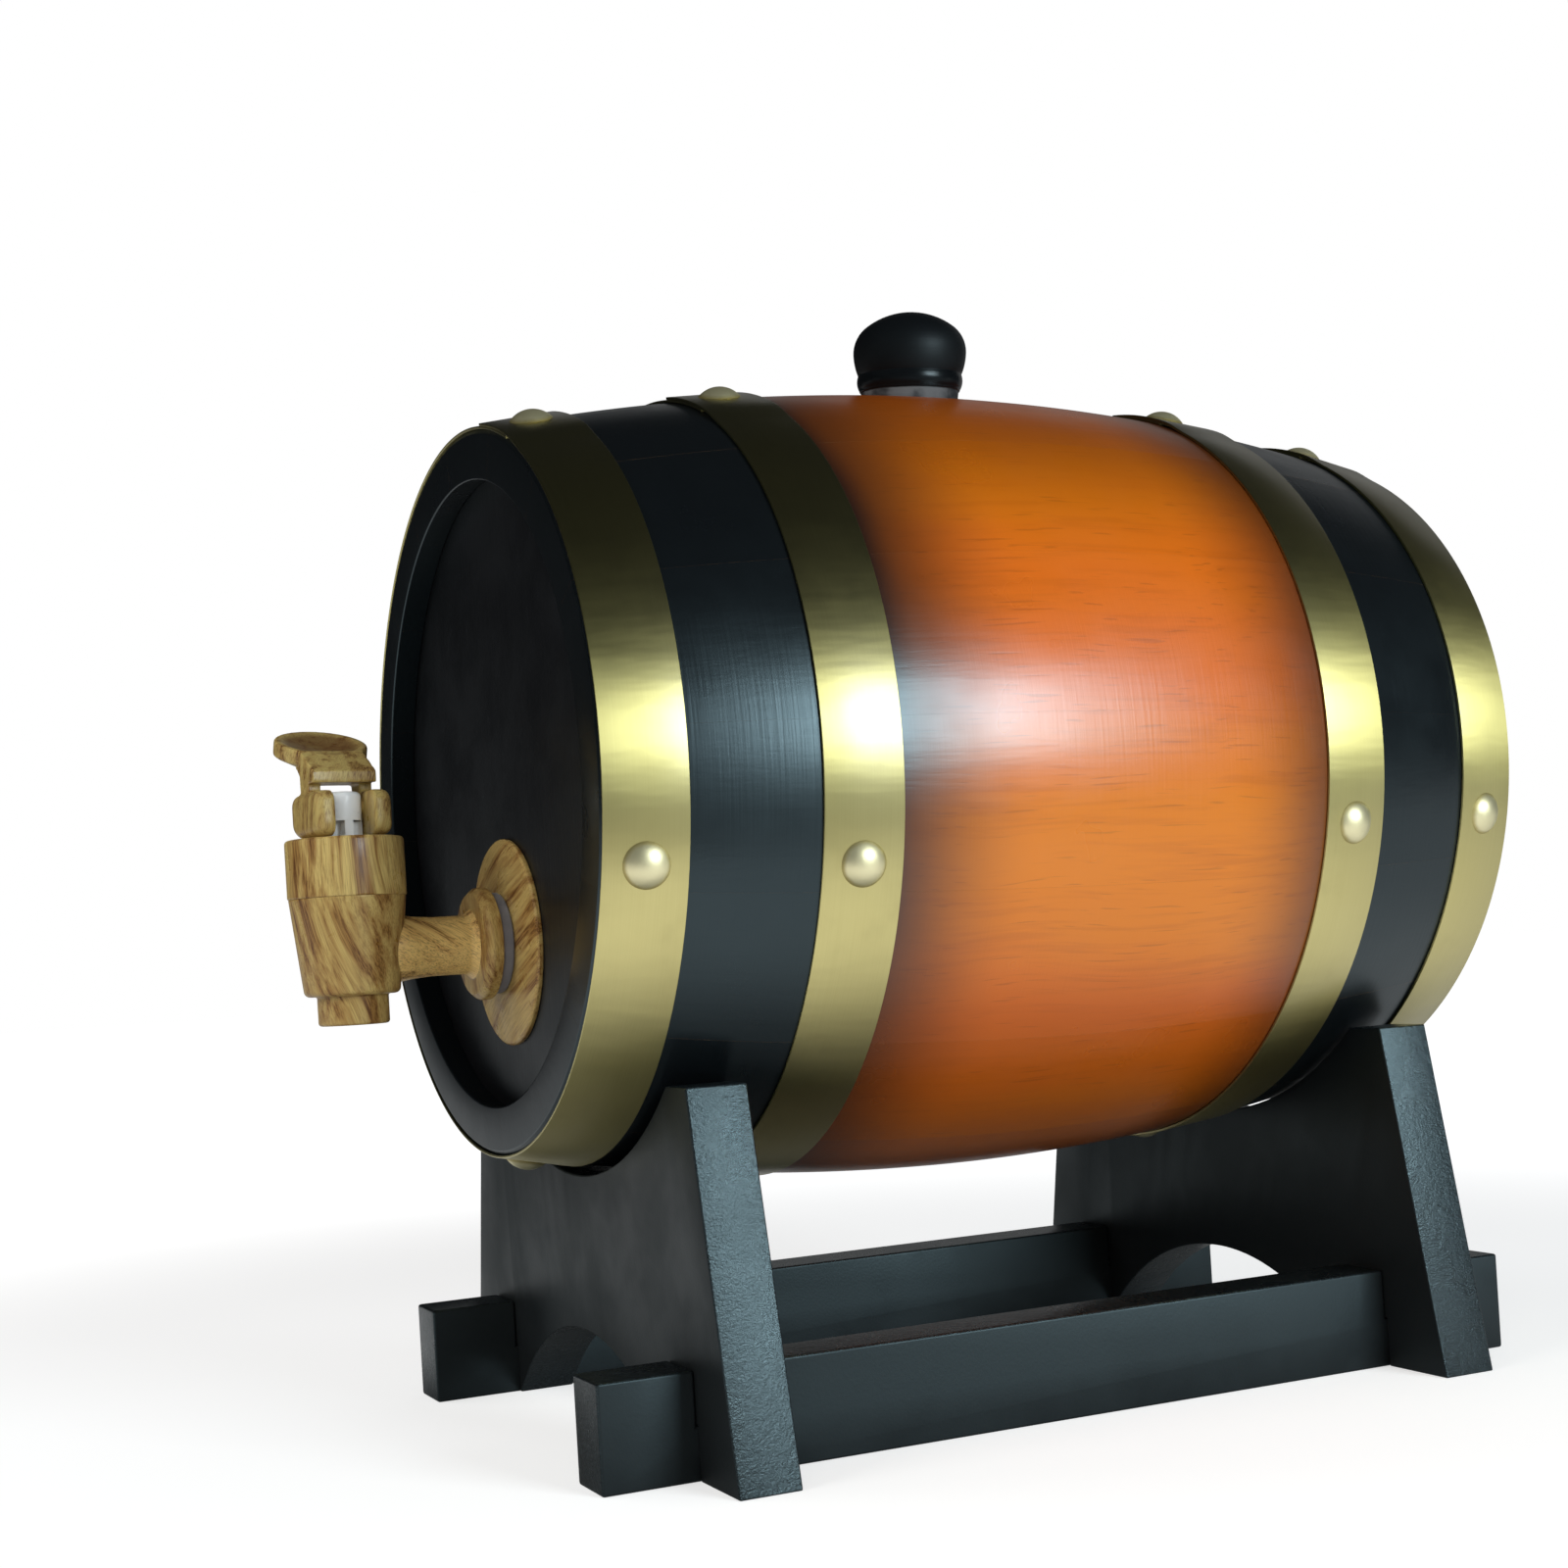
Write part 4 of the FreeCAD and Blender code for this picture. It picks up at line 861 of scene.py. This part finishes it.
tap_cup = shown("tap_body_moulding", turned("tap_body_moulding", eased([
    (0, -0.0215), (0.0103, -0.0215, 0.0010), (0.0103, -0.0129, 0.0006), (0.0138, -0.0129, 0.0018),
    (0.0169, 0.0152, 0.0006), (0.0169, cup_top, 0.0002), (neck_radius, cup_top),
    (neck_radius, 0.0271, 0.0004), (0, 0.0271)]), tap_middle))
thread = []
for turn in range(thread_turns):
    crest = thread_start + turn * thread_pitch
    thread += [(tail_radius, crest), (tail_radius, crest + 0.0005), (thread_root, crest + 0.0012)]
shank = turned("shank", eased([
    (0, 0.002), (0.0098, 0.002), (0.0098, 0.0150), (0.0092, 0.0185, 0.006), (0.00875, 0.024, 0.006),
    (0.00875, flange_front - 0.002, 0.002), (0.0105, flange_front, 0.0006),
    (0.0150, flange_front, 0.0004), (0.0168, flange_front + 0.0018, 0.0018),
    (0.0168, flange_back, 0.0006), (tail_radius, flange_back), *thread,
    (tail_radius, tail_back - 0.0010, 0.0004), (thread_root, tail_back), (0, tail_back)]),
    tap_middle, "Y", 112)
reshaped(tap_cup, "UNION", "shank", shank)
cut_away(tap_cup, "chamber", [
    (0, -0.025), (0.0056, -0.025), (0.0056, -0.0056), (0.0076, -0.0056), (0.0076, -0.008),
    (0.0116, -0.008), (0.0116, 0.04), (0, 0.04)], tap_middle)
cut_away(tap_cup, "inlet", [(0, 0), (0.005, 0), (0.005, 0.1), (0, 0.1)], tap_middle, "Y", 64)
# Painted light: the shank's film colours are much paler than the body's, brightening the shank, which lies
# in the shade of the body.
coated(
    tap_cup.data, film("film_on_tap_body", (104, 0, -25), tap_middle)[0],
    film("film_on_shank_painted_light", (-28, 0, -24), tap_middle, (0.92, 0.63, 0.22), (0.76, 0.46, 0.15))[0])
for face in tap_cup.data.polygons:
    offset = face.center - tap_middle
    cup_radius = 0.01535 + 0.11 * offset.z
    on_flange = flange_front - margin < offset.y < flange_back + margin
    beyond_cup = offset.y > 0 and hypot(offset.x, offset.y) > cup_radius
    on_shank = beyond_cup and abs(offset.z) < 0.0125 and not on_flange
    face.material_index = 1 if on_shank else 0
settle(tap_cup, "barrel", "tap_body")

cap_top = 0.0328
cap_bore = 0.0144
cap_ceiling = cap_top - 0.003
stem_hole = 0.0058
tap_cap = shown("tap_cap_cover", turned("tap_cap_cover", eased([
    (cap_bore, cup_top, 0.0002), (0.0170, cup_top, 0.0003), (0.0172, 0.0160, 0.0003),
    (0.0172, cap_top, 0.0011), (0.0064, cap_top, 0.0004), (stem_hole, cap_top - 0.0006, 0.0002),
    (stem_hole, cap_ceiling), (cap_bore, cap_ceiling)]), tap_middle))
cap_film = film("film_on_tap_cap", (87, 0, 151), tap_middle + Vector((0.03, 0, 0)), (0.66, 0.49, 0.175))[0]
settle(tap_cap, "barrel", "tap_cap", cap_film)

# -------- the tap: its seal and stem
# The seal is one silicone moulding: a flange that stays clamped under the cap, a thin sleeve that
# stretches when the stem is lifted, and the plug that shuts the nozzle. The white stem is buttoned into
# it; ribs guide it through the cap, and its round head takes the lever's pegs.

silicone = cloudy(
    "seal_silicone", 4.0, (0.74, 0.74, 0.72), (0.84, 0.84, 0.82), 0.00004, Roughness=0.45,
    Specular_IOR_Level=0.4, Subsurface_Weight=0.15, Subsurface_Radius=(0.004, 0.004, 0.004))[0]
plug_radius = 0.0084
seal_sleeve = plug_radius - 0.0016
seal = shown("valve_seal_moulding", turned("valve_seal_moulding", eased([
    (0, -0.0053), (plug_radius, -0.0053, 0.0006), (plug_radius, 0.0274), (neck_radius, 0.0274, 0.0004),
    (neck_radius, 0.0295, 0.0004), (seal_sleeve, 0.0295, 0.0002), (seal_sleeve, 0.0037, 0.0003),
    (0.0030, 0.0037), (0.0030, 0.0018), (0.0047, 0.0018), (0.0047, -0.0012), (0, -0.0012)]),
    tap_middle, "Z", 96))
coated(seal.data, silicone)
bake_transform(seal)
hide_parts("valve_seal")

white_plastic, tree, shader, marks = cloudy(
    "stem_white", 6.0, (0.88, 0.91, 0.93), (0.95, 0.97, 0.98), 0.00003, Specular_IOR_Level=0.5, IOR=1.49)
feed(tree, shader, {"Roughness": rubbed_roughness(tree, marks, 0.26, 0.38)})
stem = clean_copy("stem_moulding", "tap_stem", 0.00025)
settle(stem, "stem", "tap_stem", white_plastic)

# -------- the tap: its lever
# The lever is one thick moulding: two pillow-shaped cam lobes that roll on the cap, two legs, and a
# dished thumb paddle. Every edge is soft from the mould, and the hollow of the dish is painted darker as
# painted shade.

lever_turn = radians(185)
lever_out = Vector((cos(lever_turn), sin(lever_turn), 0))
pin_middle = tap_middle + Vector((0, 0, 0.0421))
paddle_tilt = radians(21)
paddle_middle = pin_middle + lever_out * 0.0159 + Vector((0, 0, 0.0207))
paddle_up = Vector((0, 0, cos(paddle_tilt))) - lever_out * sin(paddle_tilt)
dish_radius = 0.0121
dish_depth = 0.0034
lobe_top = 0.006
lobe_fade = 0.003

lever = clean_copy("lever_moulding", "tap_lever", 0)
grown_skin = lever.modifiers.new("one skin", "REMESH")
grown_skin.mode = "VOXEL"
grown_skin.voxel_size = 0.0003
made_plain(lever)
lobes = lever.vertex_groups.new(name="lobes")
for point in lever.data.vertices:
    above_pin = point.co.z - pin_middle.z
    lobes.add([point.index], clamped((lobe_top - above_pin) / lobe_fade), "REPLACE")
for label, group, passes in (("pillow lobes", "lobes", 50), ("soft mould edges", "", 9)):
    softening = lever.modifiers.new(label, "SMOOTH")
    softening.factor = 0.5
    softening.iterations = passes
    softening.vertex_group = group
made_plain(lever)
lever.data.shade_smooth()
# The dish attribute rises from 0 at the dish's rim to 1 a little below it; the film is darkened there as
# painted shade in the hollow.
dish = lever.data.attributes.new("dish", "FLOAT", "POINT")
for point in lever.data.vertices:
    offset = point.co - paddle_middle
    height = offset.dot(paddle_up)
    out = (offset - paddle_up * height).length
    in_dish = out < dish_radius and height > -dish_depth
    dish.data[point.index].value = clamped((-height + 0.00002) / 0.0008) if in_dish else 0
lever_film, tree, shader, colour = film(
    "film_on_lever", (70, 0, -20), pin_middle, (0.56, 0.43, 0.15), (0.43, 0.28, 0.09))
painted_dish_shade = add(tree, "ShaderNodeAttribute", attribute_name="dish").outputs["Fac"]
dish_shade_colour = mixed(tree, 0.25, (0.12, 0.048, 0.018), colour)
feed(tree, shader, {"Base Color": mixed(tree, times(tree, painted_dish_shade, 0.95), colour, dish_shade_colour)})
settle(lever, "lever", "tap_lever", lever_film)

# -------- the stand
# Two upright boards with a saddle for the cask are halved over two floor rails. The boards are cut
# from fibreboard and sprayed satin black: flat on the faces, and rough on the sawn edges, which soak
# up the lacquer.

board_black, tree, shader = new_finish(
    "stand_satin_black", Specular_IOR_Level=0.5, Specular_Tint=(0.66, 0.92, 1.0), IOR=1.5)
place = millimetres(tree)
marks = marks_on(tree, place, 30.0)
orange_peel = cloud(tree, stretched(tree, place, (0.9, 0.9, 0.9)))
feed(tree, shader, {
    "Base Color": mixed(tree, marks["Smudge"], (0.008, 0.009, 0.010), (0.015, 0.017, 0.018)),
    "Roughness": rubbed_roughness(tree, marks, 0.40, 0.52),
    "Normal": relief(tree, orange_peel, 0.00003),
})

edge_black, tree, shader = new_finish(
    "stand_rough_edge", Specular_IOR_Level=0.8, Specular_Tint=(0.66, 0.92, 1.0), IOR=1.5)
place = millimetres(tree)
fibre = cloud(tree, stretched(tree, place, (1.1, 0.8, 0.55)), 1.0, 4.0, 0.65)
lumps = cloud(tree, stretched(tree, place, (2.6, 2.6, 2.0)), 1.0, 3.0, 0.6)
rough_black = mixed(tree, step_up(tree, fibre, 0.42, 0.68), (0.005, 0.006, 0.007), (0.018, 0.023, 0.026))
feed(tree, shader, {
    "Base Color": rough_black,
    "Roughness": rubbed_roughness(tree, marks_on(tree, place, 16.0), 0.25, 0.32),
    "Normal": relief(tree, maths(tree, "ADD", fibre, lumps), 0.00017),
})


def stand_board(name, node, edge_axis):
    """A board with its broad faces square to one axis; every other face is a sawn edge."""
    board = clean_copy(name, node, 0.0009, 3)
    coated(board.data, board_black, edge_black)
    for face in board.data.polygons:
        face.material_index = 0 if abs(face.normal[edge_axis]) > 0.9 else 1
    settle(board, "stand", node)


for node, edge_axis in (("front_cradle", 1), ("rear_cradle", 1), ("left_rail", 0), ("right_rail", 0)):
    stand_board(f"{node}_board", node, edge_axis)

# -------- floor, backdrop, lamps, camera
# A plain white floor and backdrop. One bright, compact lamp stands low on the right and makes the
# highlights. Weak lamps in front, on the left and behind fill the shadows and aren't reflected, a wide
# glow stands behind on the left, and a faint panel hangs overhead.

floor_mesh = bpy.data.meshes.new("studio_floor")
floor_mesh.from_pydata([(-8, -8, 0), (8, -8, 0), (8, 8, 0), (-8, 8, 0)], [], [(0, 1, 2, 3)])
floor = shown("studio_floor", floor_mesh)
floor_paint, tree, shader = new_finish("studio_floor_paint", Roughness=0.9, Specular_IOR_Level=0.0)
path = add(tree, "ShaderNodeLightPath").outputs
place = add(tree, "ShaderNodeTexCoord").outputs["Object"]
distance = vector_maths(tree, "LENGTH", place, result="Value")
# In reflections the floor glows with painted light: it ends in front of the cask, fades to the left and
# to the back, and carries a painted shadow under the cask itself.
front_right = (0.9455, -0.3256, 0)
across = vector_maths(tree, "DOT_PRODUCT", place, front_right, result="Value")
along = add(tree, "ShaderNodeSeparateXYZ", {0: place}).outputs["Y"]
cask_shape = vector_maths(tree, "MULTIPLY", place, (1.0, 0.6, 0.0))
under_cask = vector_maths(tree, "LENGTH", cask_shape, result="Value")
painted_reflected_glow = step_up(tree, across, 0.46, 0.58, 1.0, 0.08)
for share in (step_up(tree, along, 0.15, 0.5, 1.0, 0.55), step_up(tree, across, -0.38, 0.05, 0.38, 1.0),
              step_up(tree, under_cask, 0.09, 0.24, 0.03, 0.85), path["Is Glossy Ray"]):
    painted_reflected_glow = times(tree, painted_reflected_glow, share)
seen = times(tree, path["Is Camera Ray"], step_up(tree, distance, 0.35, 0.95, 0.6, 1.0))
feed(tree, shader, {
    "Base Color": mixed(tree, path["Is Glossy Ray"], (0.65, 0.65, 0.65), (0.2, 0.2, 0.2)),
    "Emission Color": (1, 1, 1),
    "Emission Strength": maths(tree, "ADD", seen, painted_reflected_glow),
})
floor_mesh.materials.append(floor_paint)

world = bpy.data.worlds.new("studio")
bpy.context.scene.world = world
world.use_nodes = True
tree = world.node_tree
path = add(tree, "ShaderNodeLightPath").outputs
white_seen = maths(tree, "MAXIMUM", path["Is Camera Ray"], path["Is Transmission Ray"])
room_level = mixed(tree, path["Is Glossy Ray"], (0.092, 0.094, 0.097), (0.012, 0.013, 0.014))
feed(tree, tree.nodes["Background"], {"Color": mixed(tree, white_seen, room_level, (1, 1, 1))})


def soft_lamp(name, azimuth, elevation, distance, width, height, radiance, tint=(1.0, 1.0, 1.0),
              glossy=True, diffuse=1.0):
    """A rectangular lamp that faces the cask; azimuth is counted from +X towards +Y."""
    turn, rise = radians(azimuth), radians(elevation)
    out = Vector((cos(rise) * cos(turn), cos(rise) * sin(turn), sin(rise)))
    lamp_data = bpy.data.lights.new(name, "AREA")
    lamp_data.shape = "RECTANGLE"
    lamp_data.size = width
    lamp_data.size_y = height
    lamp_data.energy = radiance * width * height * pi
    lamp_data.color = tint
    lamp_data.diffuse_factor = diffuse
    lamp = shown(name, lamp_data)
    lamp.location = cask_middle + out * distance
    lamp.rotation_euler = out.to_track_quat("Z", "Y").to_euler()
    lamp.visible_glossy = glossy
    lamp.visible_camera = False


soft_lamp("key_lamp", 18, 12.5, 1.5, 0.62, 0.46, 18.0, (0.87, 0.96, 1.0), diffuse=0.61)
soft_lamp("front_lamp", -32, 16, 1.5, 0.8, 0.8, 1.8, (1.0, 0.99, 0.95), glossy=False)
soft_lamp("left_lamp", -80, 24, 1.5, 0.8, 0.8, 3.1, (1.0, 0.99, 0.95), glossy=False)
soft_lamp("back_lamp", 235, 34, 1.6, 0.9, 0.9, 1.5, glossy=False)
soft_lamp("backdrop_glow", 135, 20, 2.0, 2.2, 1.5, 0.22)
soft_lamp("overhead_panel", 90, 88, 1.5, 1.6, 1.6, 0.2, glossy=False)

camera_data = bpy.data.cameras.new("view")
camera_data.lens = 50.0
camera_data.sensor_width = 36.0
camera_data.shift_x = 0.0179
camera_data.shift_y = 0.0910
camera_data.clip_start = 0.01
camera_data.clip_end = 50
camera = shown("view", camera_data)
view_azimuth = 1.1426370
view_elevation = -0.0114890
view_roll = 0.0593399
view_place = (0.62713, -0.31995, 0.14078)
back = Vector((sin(view_azimuth) * cos(view_elevation),
               -cos(view_azimuth) * cos(view_elevation), sin(view_elevation)))
level_right = (-back).cross(Vector((0, 0, 1))).normalized()
level_down = (-back).cross(level_right)
right = level_right * cos(view_roll) + level_down * sin(view_roll)
down = level_down * cos(view_roll) - level_right * sin(view_roll)
looks = Matrix((right, -down, back)).transposed().to_4x4()
camera.matrix_world = Matrix.Translation(view_place) @ looks
bpy.context.scene.camera = camera

bpy.context.scene.view_settings.view_transform = "Standard"
